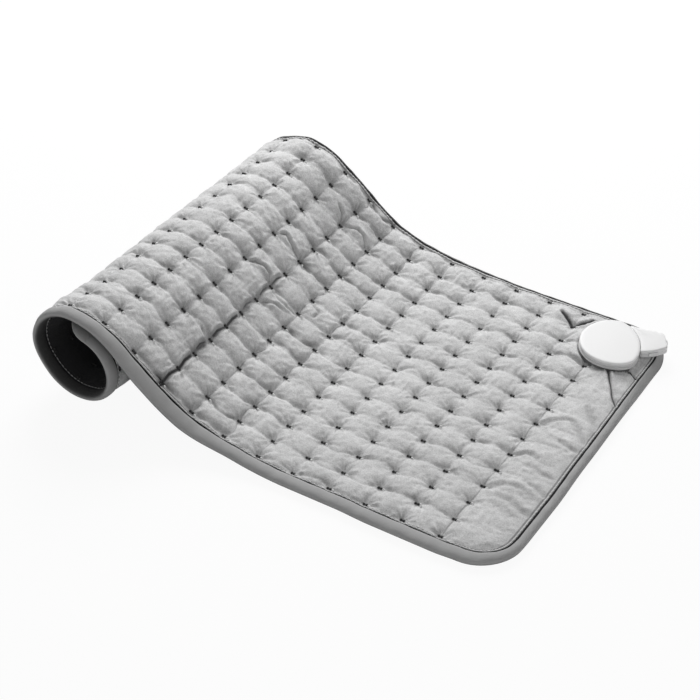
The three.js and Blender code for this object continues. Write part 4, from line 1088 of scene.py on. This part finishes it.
# Corners of the wire's route, rounded by the turn radius, then sampled evenly.
def wireRoute():
    runHalf = halfWidth - heater["edgeInset"]
    riser = connector["inset"] + heater["riserFromMiddle"]
    corners = [(riser, connectorY, heater["rise"]), (riser, connectorY, 0.0)]
    side = 1
    for row in range(pad["rowCount"] - 1):
        s = pad["firstRow"] + (row + 0.5) * pad["rowPitch"]
        start = connectorY if row == 0 else side * runHalf
        corners += [(s, start, 0.0), (s, -side * runHalf, 0.0)]
        side = -side
    corners = np.array(corners)
    route = [corners[0]]
    t = np.linspace(0, 1, 7)[:, None]
    for before, corner, after in zip(corners[:-2], corners[1:-1], corners[2:]):
        back, ahead = before - corner, after - corner
        radius = min(heater["turnRadius"], np.linalg.norm(back) / 2, np.linalg.norm(ahead) / 2)
        start = corner + back / np.linalg.norm(back) * radius
        end = corner + ahead / np.linalg.norm(ahead) * radius
        route += list((1 - t) ** 2 * start + 2 * t * (1 - t) * corner + t**2 * end)
    route.append(corners[-1])
    route = np.array(route)
    run = runAlong(route)
    steps = np.linspace(0, run[-1], int(run[-1] / heater["wireStep"]))
    return np.stack([np.interp(steps, run, route[:, k]) for k in range(3)], axis=-1)


def buildWire():
    route = wireRoute()
    laid = layCloth(route[:, 0], route[:, 1], route[:, 2])
    spliceCount = int(heater["spliceLength"] / heater["wireStep"]) + 1
    wire = tubeAlong("heating_wire", laid[:-spliceCount], heater["wireRadius"], heater["wireSides"])
    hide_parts("heating_wire_flat", "heating_wire_roll")
    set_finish(wire, "silicone")
    share = np.linspace(-1, 1, 13)
    end = laid[-1] + (laid[-spliceCount] - laid[-1]) * ((share + 1) / 2)[:, None]
    crimp = 1 - 0.22 * np.exp(-((np.abs(share) - 0.5) / 0.12) ** 2)
    splice = tubeAlong("wire_end_splice_sleeve", end, heater["spliceRadius"] * crimp, 12)
    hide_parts("wire_end_splice")
    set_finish(splice, "header")
    print("heating wire:", len(route), "stations")
    return wire, splice


carrierFelt = buildFelt()
heatingWire, wireSplice = buildWire()


# Connector: cap with rounded edges on the base, and the plug pushed in under its flat side.
# Sizes in the connector's frame: u towards the plug's tip, v across, z up.
shell = {
    "capRadius": 0.0281,
    "flangeRadius": 0.02846,
    "side": 0.0179,
    "sideRadius": 0.044,
    "softness": 14,
    "count": 192,
    "plugGap": 0.0003,
    "plugEnd": 0.0388,
    "plugShoulder": 0.0238,
    "plugRootHalf": 0.014,
    "plugTipHalf": 0.0084,
    "plugFlare": 0.0034,
    "plugRound": 0.0022,
    "tipRound": 0.0035,
    "plugBottom": 0.008,
    "plugMiddle": 0.0113,
    "plugTop": 0.0146,
    "cavityLow": 0.0094,
    "cavityHigh": 0.0132,
    "mouthHalf": 0.0097,
    "cutStart": 0.012,
    "blockEnd": 0.0357,
    "armEnd": 0.0325,
    "armRoom": 0.002,
    "window": (0.0232, 0.0303),
    "windowReach": 0.02,
    "windowHalf": 0.0016,
    "screwPlace": 0.0265,
    "screwFromMiddle": 0.0046,
    "screwHole": 0.0018,
    "screwDepth": 0.00925,
    "edgeRadius": 0.0012,
}


# Outline of the disc: the smaller of a circle and a flatter arc on the plug's side, joined
# softly by a power mean of their distances from the middle.
def discOutline(radius):
    angle = np.linspace(-np.pi, np.pi, shell["count"], endpoint=False)
    centre = shell["side"] - shell["sideRadius"]
    arc = centre * np.cos(angle) + np.sqrt(shell["sideRadius"] ** 2 - (centre * np.sin(angle)) ** 2)
    power = shell["softness"]
    out = (radius**-power + arc**-power) ** (-1 / power)
    return np.stack([out * np.cos(angle), out * np.sin(angle)], axis=-1)


def sideAt(v):
    outline = discOutline(shell["capRadius"])
    front = outline[np.abs(np.arctan2(outline[:, 1], outline[:, 0])) < 1.2]
    return np.interp(v, front[:, 1], front[:, 0])


# Rings of an outline drawn in by each inset at each height; a negative share of the way to the
# middle is given instead of an inset where the ring lies on a face.
def outlineRings(outline, profile, middle):
    along = np.roll(outline, -1, axis=0) - np.roll(outline, 1, axis=0)
    along /= np.linalg.norm(along, axis=1, keepdims=True)
    inwards = np.stack([-along[:, 1], along[:, 0]], axis=-1)
    rings = []
    for inset, share, z in profile:
        ring = outline + inwards * inset
        ring = ring + (np.array(middle) - ring) * share
        rings.append(np.column_stack([ring, np.full(len(ring), z)]))
    return np.array(rings)


# Closed piece through rings in the connector's frame, with a point in the middle of both ends.
def loftPiece(name, rings):
    count, sides = rings.shape[:2]
    ends = np.stack([rings[0].mean(0), rings[-1].mean(0)])
    points = toConnector(np.concatenate([rings.reshape(-1, 3), ends]))
    ring, following = np.arange(sides), (np.arange(sides) + 1) % sides
    first, last = count * sides, count * sides + 1
    lastRing = (count - 1) * sides
    fans = np.concatenate([
        np.stack([following, ring, np.full(sides, first)], axis=-1),
        np.stack([ring + lastRing, following + lastRing, np.full(sides, last)], axis=-1),
    ])
    return makePiece(name, points, [gridFaces(count, sides, wrapColumns=True), fans])


def boxCutter(u0, u1, v0, v1, z0, z1):
    corners = np.array([[u0, v0], [u1, v0], [u1, v1], [u0, v1]])
    return loftPiece("cutter", np.array([np.column_stack([corners, np.full(4, z)]) for z in (z0, z1)]))


def roundCutter(u, v, radius, z0, z1):
    angle = 2 * np.pi * np.arange(32) / 32
    circle = np.stack([u + radius * np.cos(angle), v + radius * np.sin(angle)], axis=-1)
    return loftPiece("cutter", np.array([np.column_stack([circle, np.full(32, z)]) for z in (z0, z1)]))


# The piece cut by each cutter in turn, or kept only where a cutter is.
def combine(piece, cutters, operation="DIFFERENCE", solver="EXACT"):
    for cutter in cutters:
        modifier = piece.modifiers.new("cut", "BOOLEAN")
        modifier.operation = operation
        modifier.solver = solver
        modifier.object = cutter
    shown = piece.evaluated_get(bpy.context.evaluated_depsgraph_get())
    mesh = bpy.data.meshes.new_from_object(shown)
    piece.modifiers.clear()
    piece.data = mesh
    for cutter in cutters:
        bpy.data.objects.remove(cutter)
    mesh.polygons.foreach_set("use_smooth", np.ones(len(mesh.polygons), bool))
    mesh.set_sharp_from_angle(angle=math.radians(34))
    return piece


# The cap: the disc's outline carried over a round edge and back up its inner wall.
def buildCap():
    profile = [(0, share, 0.01552 + 0.0002 * share) for share in (0.96, 0.8, 0.6, 0.42, 0.26, 0.14)]
    profile += [(0.0020, 0, 0.01552), (0.0014, 0, 0.01547), (0.0009, 0, 0.01532), (0.00045, 0, 0.01506)]
    profile += [(0.00015, 0, 0.01468), (0, 0, 0.0142), (0, 0, 0.0124), (0.0006, 0, 0.0116)]
    profile += [(0.0016, 0, 0.0116), (0.0016, 0, 0.0143), (0, 0.2, 0.0143), (0, 0.96, 0.0143)]
    rings = outlineRings(discOutline(shell["capRadius"]), profile, (-0.003, 0))
    cap = loftPiece("cap_shell", rings)
    half, middle = shell["mouthHalf"], connector["plugOffset"]
    mouth = boxCutter(0.012, 0.022, middle - half, middle + half, 0.011, shell["cavityHigh"])
    combine(cap, [mouth])
    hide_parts("connector_cap")
    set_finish(cap, "white_shell")
    return cap


# The base: the CAD's own, cut to the disc's rounder outline.
def buildBase():
    node = frame["nodes"]["connector_base"]
    base = bpy.data.objects.new("base_shell", node.data.copy())
    scene.collection.objects.link(base)
    profile = [(0.0005, 0.9, 0.0), (0.0005, 0, 0.0), (0.0005, 0, 0.00925), (0.00015, 0, 0.0094)]
    profile += [(0, 0, 0.0098), (0, 0, 0.0106), (0.0009, 0, 0.01136), (0.0009, 0, 0.016), (0.0009, 0.9, 0.016)]
    outer = loftPiece("cutter", outlineRings(discOutline(shell["flangeRadius"]), profile, (0, 0)))
    combine(base, [outer], "INTERSECT")
    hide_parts("connector_base")
    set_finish(base, "white_shell")
    return base


# A closed outline with its corners rounded: even points, each the mean of those near it.
def roundedOutline(outline):
    loop = np.concatenate([outline, outline[:1]])
    run = runAlong(loop)
    even = np.linspace(0, run[-1], 480, endpoint=False)
    points = np.stack([np.interp(even, run, loop[:, k]) for k in range(2)], axis=-1)
    near = round(shell["plugRound"] / (run[-1] / len(points)))
    mean = sum(np.roll(points, step, axis=0) for step in range(-near, near + 1)) / (2 * near + 1)
    return mean[::3]


# Outline of the plug: its front follows the disc's side, its sides draw in to a round tip.
def plugOutline():
    offset = connector["plugOffset"]
    tip, end = shell["tipRound"], shell["plugEnd"]
    v = np.linspace(-shell["plugRootHalf"], shell["plugRootHalf"] + shell["plugFlare"], 41)
    front = np.stack([sideAt(v + offset) + shell["plugGap"], v], axis=-1)

    def half(u):
        share = np.clip((u - shell["plugShoulder"]) / (end - shell["plugShoulder"]), 0, 1)
        return shell["plugRootHalf"] - (shell["plugRootHalf"] - shell["plugTipHalf"]) * share**1.5

    def flare(u):
        return shell["plugFlare"] * np.clip((0.030 - u) / 0.0115, 0, None) ** 2

    angle = np.radians(np.linspace(75, 0, 9))
    turn = np.stack([np.cos(angle), np.sin(angle)], axis=-1)
    corner = np.array([end - tip, half(end - tip) - tip]) + tip * turn
    tipFace = np.column_stack([np.full(7, end), np.linspace(1, -1, 9)[1:-1] * corner[-1, 1]])
    sides = []
    for start, spread in ((front[-1, 0], 1), (front[0, 0], 0)):
        u = np.linspace(start, end - tip, 36)[1:]
        sides.append(np.concatenate([np.stack([u, half(u) + spread * flare(u)], axis=-1), corner]))
    outline = np.concatenate([front, sides[0], tipFace, sides[1][::-1] * [1, -1]])[::-1]
    return roundedOutline(outline) + [0, offset]


# Half of the plug, from the parting line to its outer face: the outline drawn in by a round
# edge, hollow for the contact block and the latch arms, with windows for the latch buttons.
def buildPlugShell(name, level, sideways):
    middle, offset = shell["plugMiddle"] + sideways * 0.00012, connector["plugOffset"]
    rise, edge = level - middle, shell["edgeRadius"]
    profile = [(0, 0.95, middle), (0.00008, 0, middle)]
    profile += [(0, 0, middle + share * rise) for share in (0.06, 0.5)]
    for degrees in (15, 35, 55, 75, 90):
        turn = math.radians(degrees)
        profile.append((edge * (1 - math.cos(turn)), 0, level - 0.5 * rise * (1 - math.sin(turn))))
    for share in (0.12, 0.3, 0.5, 0.72, 0.95):
        profile.append((edge, share, level + 0.07 * rise * share**0.5))
    piece = loftPiece(name, outlineRings(plugOutline(), profile, (0.029, offset)))
    low, high = shell["cavityLow"], shell["cavityHigh"]
    half = shell["mouthHalf"]
    start, blockHalf, beside = shell["cutStart"], half - shell["armRoom"], shell["windowReach"]
    levels = [shell["plugMiddle"] + side * shell["windowHalf"] for side in (-1, 1)]
    hair = 0.00001
    cutters = [
        boxCutter(start, shell["blockEnd"], offset - blockHalf, offset + blockHalf, low, high),
        boxCutter(start, shell["armEnd"], offset - half, offset + half, low + hair, high - hair),
        boxCutter(*shell["window"], offset - beside, offset + beside, *levels),
    ]
    if sideways < 0:
        for side in (-1, 1):
            v = offset + side * shell["screwFromMiddle"]
            cutters.append(roundCutter(shell["screwPlace"], v, shell["screwHole"], 0.0, shell["screwDepth"]))
    combine(piece, cutters, solver="MANIFOLD")
    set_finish(piece, "plug_shell")
    return piece


# Collar at the tip of the plug: a short ring with a round edge.
def buildGland():
    profile = [(0.0373, 0.0), (0.0373, 0.0026), (0.0390, 0.0026), (0.0394, 0.0025), (0.0396, 0.0022)]
    profile += [(0.0395, 0.0019), (0.0392, 0.0018), (0.0383, 0.0018), (0.0383, 0.0)]
    u, radius = np.array(profile).T[:, :, None]
    radius = np.maximum(radius, 0.00002)
    angle = 2 * np.pi * np.arange(40) / 40
    v = connector["plugOffset"] + radius * np.cos(angle)
    z = shell["plugMiddle"] + radius * np.sin(angle)
    gland = loftPiece("plug_gland", np.stack(np.broadcast_arrays(u, v, z), axis=-1))
    gland.data.set_sharp_from_angle(angle=math.radians(50))
    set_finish(gland, "plug_shell")
    return gland


capShell = buildCap()
baseShell = buildBase()
plugUpper = buildPlugShell("plug_top", shell["plugTop"], 1)
plugLower = buildPlugShell("plug_bottom", shell["plugBottom"], -1)
plugGland = buildGland()
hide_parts("plug_upper_shell")
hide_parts("plug_lower_shell")
shells = (capShell, baseShell, plugUpper, plugLower, plugGland)
print("connector shells:", [len(piece.data.polygons) for piece in shells], "faces")


# Materials. A small set of helpers for node trees, then one function for each material.
def newMaterial(name):
    material = bpy.data.materials.new(name)
    material.use_nodes = True
    tree = material.node_tree
    tree.nodes.clear()
    output = tree.nodes.new("ShaderNodeOutputMaterial")
    shader = tree.nodes.new("ShaderNodeBsdfPrincipled")
    tree.links.new(shader.outputs[0], output.inputs[0])
    return material, tree, shader


def link(tree, source, target):
    tree.links.new(source, target)


def coordinates(tree, kind="Object"):
    return tree.nodes.new("ShaderNodeTexCoord").outputs[kind]


def noise(tree, vector, scale, detail=2.0, roughness=0.5, stretch=None):
    if stretch:
        mapping = tree.nodes.new("ShaderNodeMapping")
        mapping.inputs["Scale"].default_value = stretch
        link(tree, vector, mapping.inputs["Vector"])
        vector = mapping.outputs["Vector"]
    node = tree.nodes.new("ShaderNodeTexNoise")
    if isinstance(scale, (int, float)):
        node.inputs["Scale"].default_value = scale
    else:
        link(tree, scale, node.inputs["Scale"])
    node.inputs["Detail"].default_value = detail
    node.inputs["Roughness"].default_value = roughness
    link(tree, vector, node.inputs["Vector"])
    return node.outputs["Fac"]


def mathNode(tree, operation, first, second=None, clamp=False):
    node = tree.nodes.new("ShaderNodeMath")
    node.operation = operation
    node.use_clamp = clamp
    for index, value in enumerate((first, second)):
        if value is None:
            continue
        if isinstance(value, (int, float)):
            node.inputs[index].default_value = value
        else:
            link(tree, value, node.inputs[index])
    return node.outputs[0]


def ranged(tree, value, fromLow, fromHigh, toLow, toHigh):
    node = tree.nodes.new("ShaderNodeMapRange")
    link(tree, value, node.inputs["Value"])
    ends = {"From Min": fromLow, "From Max": fromHigh, "To Min": toLow, "To Max": toHigh}
    for name, number in ends.items():
        node.inputs[name].default_value = number
    return node.outputs["Result"]


def mixColors(tree, factor, first, second):
    node = tree.nodes.new("ShaderNodeMix")
    node.data_type = "RGBA"
    link(tree, factor, node.inputs["Factor"])
    for index, value in ((6, first), (7, second)):
        if isinstance(value, tuple):
            node.inputs[index].default_value = (*value, 1)
        else:
            link(tree, value, node.inputs[index])
    return node.outputs[2]


def bump(tree, shader, height, distance, strength=1.0):
    node = tree.nodes.new("ShaderNodeBump")
    node.inputs["Strength"].default_value = strength
    node.inputs["Distance"].default_value = distance
    link(tree, height, node.inputs["Height"])
    link(tree, node.outputs["Normal"], shader.inputs["Normal"])


def attribute(tree, name):
    node = tree.nodes.new("ShaderNodeAttribute")
    node.attribute_name = name
    return node.outputs["Fac"]


def setMaterial(piece, material):
    piece.data.materials.clear()
    piece.data.materials.append(material)


# Plush colours: light and dark give the nap's random tone. The pit colour is the near black of painted shade
# in pits and creases, along the seam and round the disc. The under colour paints the underside near black: a
# darker cloth with the shade of the roll's hollow painted in. The two distances place lines of painted shade
# beside the seam.
plush = {
    "light": (0.86, 0.86, 0.86),
    "dark": (0.52, 0.52, 0.52),
    "pit": (0.012, 0.012, 0.013),
    "underShade": (0.02, 0.02, 0.021),
    "seamShade": 1.45,  # millimetres from the seam
    "grooveShade": 3.3,
    "fibre": 900,
    "nap": 70,
    "bump": 0.0004,
}


# One on a line and nothing half a millimetre beyond its half width, from the distance to it.
def thinLine(tree, distance, halfWidth):
    return ranged(tree, mathNode(tree, "ABSOLUTE", distance), halfWidth, halfWidth + 0.5, 1, 0)


def plushMaterial():
    material, tree, shader = newMaterial("microplush")
    where = coordinates(tree)
    fibres = noise(tree, where, plush["fibre"], 3.0, 0.65)
    brushed = noise(tree, where, plush["nap"], 3.0, 0.6)
    grain = ranged(tree, fibres, 0.36, 0.64, 0, 0.55)
    patches = ranged(tree, brushed, 0.3, 0.7, 0, 0.45)
    color = mixColors(tree, mathNode(tree, "ADD", grain, patches), plush["dark"], plush["light"])
    seam = attribute(tree, "seam")
    # Painted shade along the seam's gap next to the tape, and a thin line of painted shade in the groove
    # beside the stitches.
    besideStitches = mathNode(tree, "SUBTRACT", seam, plush["grooveShade"])
    shades = [ranged(tree, seam, plush["seamShade"], plush["seamShade"] + 0.5, 1, 0)]
    shades.append(mathNode(tree, "MULTIPLY", thinLine(tree, besideStitches, 0.3), 0.6))
    # A painted shadow round the disc's flange, left out on the side towards the pad's end.
    shades.append(ranged(tree, attribute(tree, "disc"), 0.3, 1.0, 0.75, 0))
    # Dark lines of painted shade along the creases of rows and folds.
    for name in ("row", "fold"):
        line = thinLine(tree, attribute(tree, name + "Side"), 0.35)
        shades.append(mathNode(tree, "MULTIPLY", line, attribute(tree, name + "Dark")))
    # Painted shade of the pits, wedges and creases; all of it mixes the colour towards the pit colour.
    paintedShade = attribute(tree, "paintedShade")
    for shade in shades:
        paintedShade = mathNode(tree, "MAXIMUM", paintedShade, shade)
    # The underside painted near black: a darker cloth with the shade of the roll's hollow painted in.
    color = mixColors(tree, attribute(tree, "underside"), color, plush["underShade"])
    color = mixColors(tree, paintedShade, color, plush["pit"])
    link(tree, color, shader.inputs["Base Color"])
    shader.inputs["Roughness"].default_value = 0.95
    shader.inputs["Specular IOR Level"].default_value = 0.2
    shader.inputs["Sheen Weight"].default_value = 0.35
    shader.inputs["Sheen Roughness"].default_value = 0.4
    shader.inputs["Sheen Tint"].default_value = (0.9, 0.9, 0.92, 1)
    bump(tree, shader, fibres, plush["bump"])
    return material


# Tape colours: light and dark for the weave; the under colour is painted shade on the tape's lower leg.
tape = {
    "light": (0.49, 0.49, 0.49),
    "dark": (0.38, 0.38, 0.38),
    "underShade": (0.035, 0.035, 0.035),
    "rib": 0.00075,
    "thread": 0.0005,
    "bump": 0.00012,
}


def tapeMaterial():
    material, tree, shader = newMaterial("bindingTape")
    uv = coordinates(tree, "UV")
    split = tree.nodes.new("ShaderNodeSeparateXYZ")
    link(tree, uv, split.inputs[0])
    waves = []
    for along, pitch, share in ((0, tape["rib"], 0.7), (1, tape["thread"], 0.3)):
        wave = mathNode(tree, "SINE", mathNode(tree, "MULTIPLY", split.outputs[along], 2 * math.pi / pitch))
        waves.append(ranged(tree, wave, -1, 1, 0, share))
    weave = mathNode(tree, "ADD", *waves)
    worn = noise(tree, coordinates(tree), 140, 3.0, 0.6)
    tone = mathNode(tree, "MULTIPLY", weave, ranged(tree, worn, 0.3, 0.7, 0.6, 1.2), clamp=True)
    color = mixColors(tree, tone, tape["dark"], tape["light"])
    # Painted shade on the tape's lower leg.
    color = mixColors(tree, attribute(tree, "underside"), color, tape["underShade"])
    link(tree, color, shader.inputs["Base Color"])
    shader.inputs["Roughness"].default_value = 0.75
    shader.inputs["Specular IOR Level"].default_value = 0.3
    bump(tree, shader, weave, tape["bump"])
    return material


# Node group of a grained surface: broad patches darken its colour by a share, and a fine grain
# varies its roughness and tilts its normal.
def grainGroup():
    tree = bpy.data.node_groups.new("surfaceGrain", "ShaderNodeTree")
    kinds = {"Color": "NodeSocketColor", "Normal": "NodeSocketVector"}
    for way, names in (
        ("INPUT", ("Color", "Variation", "Roughness", "Grain", "Depth")),
        ("OUTPUT", ("Color", "Roughness", "Normal")),
    ):
        for name in names:
            tree.interface.new_socket(name, in_out=way, socket_type=kinds.get(name, "NodeSocketFloat"))
    given = tree.nodes.new("NodeGroupInput").outputs
    result = tree.nodes.new("NodeGroupOutput")
    where = coordinates(tree)
    fine = noise(tree, where, given["Grain"], 2.0, 0.6)
    patches = ranged(tree, noise(tree, where, 60, 2.0, 0.5), 0.3, 0.7, 1, 0)
    darker = mathNode(tree, "MULTIPLY", patches, given["Variation"])
    link(tree, mixColors(tree, darker, given["Color"], (0, 0, 0)), result.inputs["Color"])
    spread = ranged(tree, fine, 0.3, 0.7, -0.06, 0.06)
    link(tree, mathNode(tree, "ADD", given["Roughness"], spread), result.inputs["Roughness"])
    node = tree.nodes.new("ShaderNodeBump")
    link(tree, given["Depth"], node.inputs["Distance"])
    link(tree, fine, node.inputs["Height"])
    link(tree, node.outputs["Normal"], result.inputs["Normal"])
    return tree


surfaceGrain = grainGroup()


def grainedMaterial(name, color, roughness, grain, depth, metallic=0.0, variation=0.06):
    material, tree, shader = newMaterial(name)
    shader.inputs["Metallic"].default_value = metallic
    node = tree.nodes.new("ShaderNodeGroup")
    node.node_tree = surfaceGrain
    node.inputs["Color"].default_value = (*color, 1)
    values = {"Variation": variation, "Roughness": roughness, "Grain": grain, "Depth": depth}
    for socket, value in values.items():
        node.inputs[socket].default_value = value
    link(tree, node.outputs["Color"], shader.inputs["Base Color"])
    for socket in ("Roughness", "Normal"):
        link(tree, node.outputs[socket], shader.inputs[socket])
    return material, shader, node


def plainMaterial(*values, **more):
    return grainedMaterial(*values, **more)[0]


# Pale plastic lets light through a little, and its satin surface hardly mirrors the lamps.
def shellMaterial(name, color, roughness):
    material, shader = grainedMaterial(name, color, roughness, 2600, 0.00001, variation=0.02)[:2]
    shader.inputs["Specular IOR Level"].default_value = 0.3
    shader.inputs["Subsurface Weight"].default_value = 0.3
    shader.inputs["Subsurface Radius"].default_value = (1, 1, 1)
    shader.inputs["Subsurface Scale"].default_value = 0.006
    return material


# The cap's round edge is painted paler than its top, as a painted highlight, and its wall is painted greyer,
# as painted shade.
capPaintedLight = {
    "wall": (0.76, 0.76, 0.76),
    "edge": (0.98, 0.98, 0.98),
    "top": (0.86, 0.86, 0.86),
    "edgeHeights": (0.0139, 0.0144),
    "topHeights": (0.0153, 0.0155),
}


def capMaterial():
    material, shader, grained = grainedMaterial("whiteShellCap", (1, 1, 1), 0.45, 2600, 0.00001, variation=0)
    tree = material.node_tree
    split = tree.nodes.new("ShaderNodeSeparateXYZ")
    link(tree, coordinates(tree), split.inputs[0])
    height = split.outputs[2]
    # Painted shade on the wall, a painted highlight on the round edge, and the top's own colour.
    color = capPaintedLight["wall"]
    for zone in ("edge", "top"):
        share = ranged(tree, height, *capPaintedLight[zone + "Heights"], 0, 1)
        color = mixColors(tree, share, color, capPaintedLight[zone])
    link(tree, color, grained.inputs["Color"])
    shader.inputs["Specular IOR Level"].default_value = 0.3
    return material


materials = {
    "plush": plushMaterial(),
    "tape": tapeMaterial(),
    "thread": plainMaterial("sewingThread", (0.85, 0.85, 0.85), 0.6, 3000, 0.00005),
    "greyThread": plainMaterial("underThread", (0.3, 0.3, 0.302), 0.6, 3000, 0.00005),
    # Tuft loops: near black, partly the thread and partly painted shade of the pits.
    "darkThread": plainMaterial("tuftThread", (0.014, 0.014, 0.014), 0.8, 3000, 0.00005),
    "felt": plainMaterial("needleFelt", (0.78, 0.76, 0.71), 0.95, 900, 0.0002, variation=0.12),
    "silicone": plainMaterial("siliconeSleeve", (0.68, 0.64, 0.55), 0.5, 800, 0.00003),
    "white_shell": shellMaterial("whiteShell", (0.93, 0.93, 0.93), 0.45),
    "plug_shell": shellMaterial("plugShell", (0.92, 0.92, 0.92), 0.5),
    "clamp": plainMaterial("clampPlastic", (0.7, 0.7, 0.7), 0.5, 1500, 0.00002),
    "board": plainMaterial("boardLaminate", (0.02, 0.14, 0.05), 0.35, 700, 0.00001, variation=0.3),
    "contact": plainMaterial("platedContact", (0.83, 0.62, 0.28), 0.3, 2000, 0.00001, metallic=1.0),
    "steel": plainMaterial("zincSteel", (0.62, 0.63, 0.64), 0.4, 2000, 0.00001, metallic=1.0),
    "header": plainMaterial("blackMoulding", (0.025, 0.025, 0.027), 0.5, 1800, 0.00002),
}
slotOfNode = {row["node"]: row["material_slot"] for row in frame["record"]["subparts"]}
for name, node in frame["nodes"].items():
    for place in node.material_slots:
        place.material = materials[slotOfNode[name]]
for piece in (quiltedPad, edgeBinding, carrierFelt, heatingWire, wireSplice, *shells):
    setMaterial(piece, materials[piece["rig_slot"]])
for piece in (seamStitches, glintEnds):
    setMaterial(piece, materials["thread"])
setMaterial(underStitches, materials["greyThread"])
setMaterial(tuftTacks, materials["darkThread"])
setMaterial(capShell, capMaterial())
# The base is painted greyer than the cap, as shade on its side band.
setMaterial(baseShell, shellMaterial("whiteShellBase", (0.82, 0.82, 0.82), 0.5))


# Cloth parts keep their laid places; the splice, the disc's shells and the plug's pieces go with their bodies.
threads = (seamStitches, underStitches, tuftTacks, glintEnds)
for piece in (quiltedPad, edgeBinding, *threads, carrierFelt, heatingWire):
    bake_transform(piece)
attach(wireSplice, "rolled_end")
for piece in (capShell, baseShell):
    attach(piece, "pad")
for piece in (plugUpper, plugLower, plugGland):
    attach(piece, "plug")


# Pale floor, white background and soft lamps.
stage = {
    "floorHalf": 3.0,
    "floorDrop": 0.0003,
    "floorColor": (0.9, 0.9, 0.9),
    "floorGlow": 0.93,
    "world": 0.17,
    "key": {"place": (-0.6, 0.95, 0.92), "size": 0.9, "power": 22},
    "fill": {"place": (1.2, -1.2, 1.2), "size": 1.3, "power": 6.5},
}


def addLamp(name, place, size, power):
    data = bpy.data.lights.new(name, "AREA")
    data.shape = "DISK"
    data.size = size
    data.energy = power
    lamp = bpy.data.objects.new(name, data)
    lamp.location = place
    lamp.rotation_euler = (Vector((0, 0, 0.02)) - Vector(place)).to_track_quat("-Z", "Y").to_euler()
    scene.collection.objects.link(lamp)


def whiteForSight(tree):
    path = tree.nodes.new("ShaderNodeLightPath")
    seen = mathNode(tree, "MAXIMUM", path.outputs["Is Camera Ray"], path.outputs["Is Glossy Ray"])
    return mathNode(tree, "MAXIMUM", seen, path.outputs["Is Transmission Ray"])


def buildStage():
    half, drop = stage["floorHalf"], -stage["floorDrop"]
    corners = [(-half, -half, drop), (half, -half, drop), (half, half, drop), (-half, half, drop)]
    floor = makePiece("floor", corners, np.array([[0, 1, 2, 3]]), closed=False)
    material, tree, shader = newMaterial("paleFloor")
    shader.inputs["Base Color"].default_value = (*stage["floorColor"], 1)
    shader.inputs["Roughness"].default_value = 0.9
    glow = tree.nodes.new("ShaderNodeEmission")
    mixed = tree.nodes.new("ShaderNodeMixShader")
    link(tree, mathNode(tree, "MULTIPLY", whiteForSight(tree), stage["floorGlow"]), mixed.inputs[0])
    link(tree, shader.outputs[0], mixed.inputs[1])
    link(tree, glow.outputs[0], mixed.inputs[2])
    output = next(node for node in tree.nodes if node.type == "OUTPUT_MATERIAL")
    link(tree, mixed.outputs[0], output.inputs[0])
    setMaterial(floor, material)
    world = bpy.data.worlds.new("studio")
    world.use_nodes = True
    tree = world.node_tree
    background = tree.nodes["Background"]
    background.inputs["Color"].default_value = (1, 1, 1, 1)
    strength = ranged(tree, whiteForSight(tree), 0, 1, stage["world"], 1)
    link(tree, strength, background.inputs["Strength"])
    scene.world = world
    for name in ("key", "fill"):
        addLamp(name, **stage[name])


buildStage()
scene.view_settings.view_transform = "Standard"
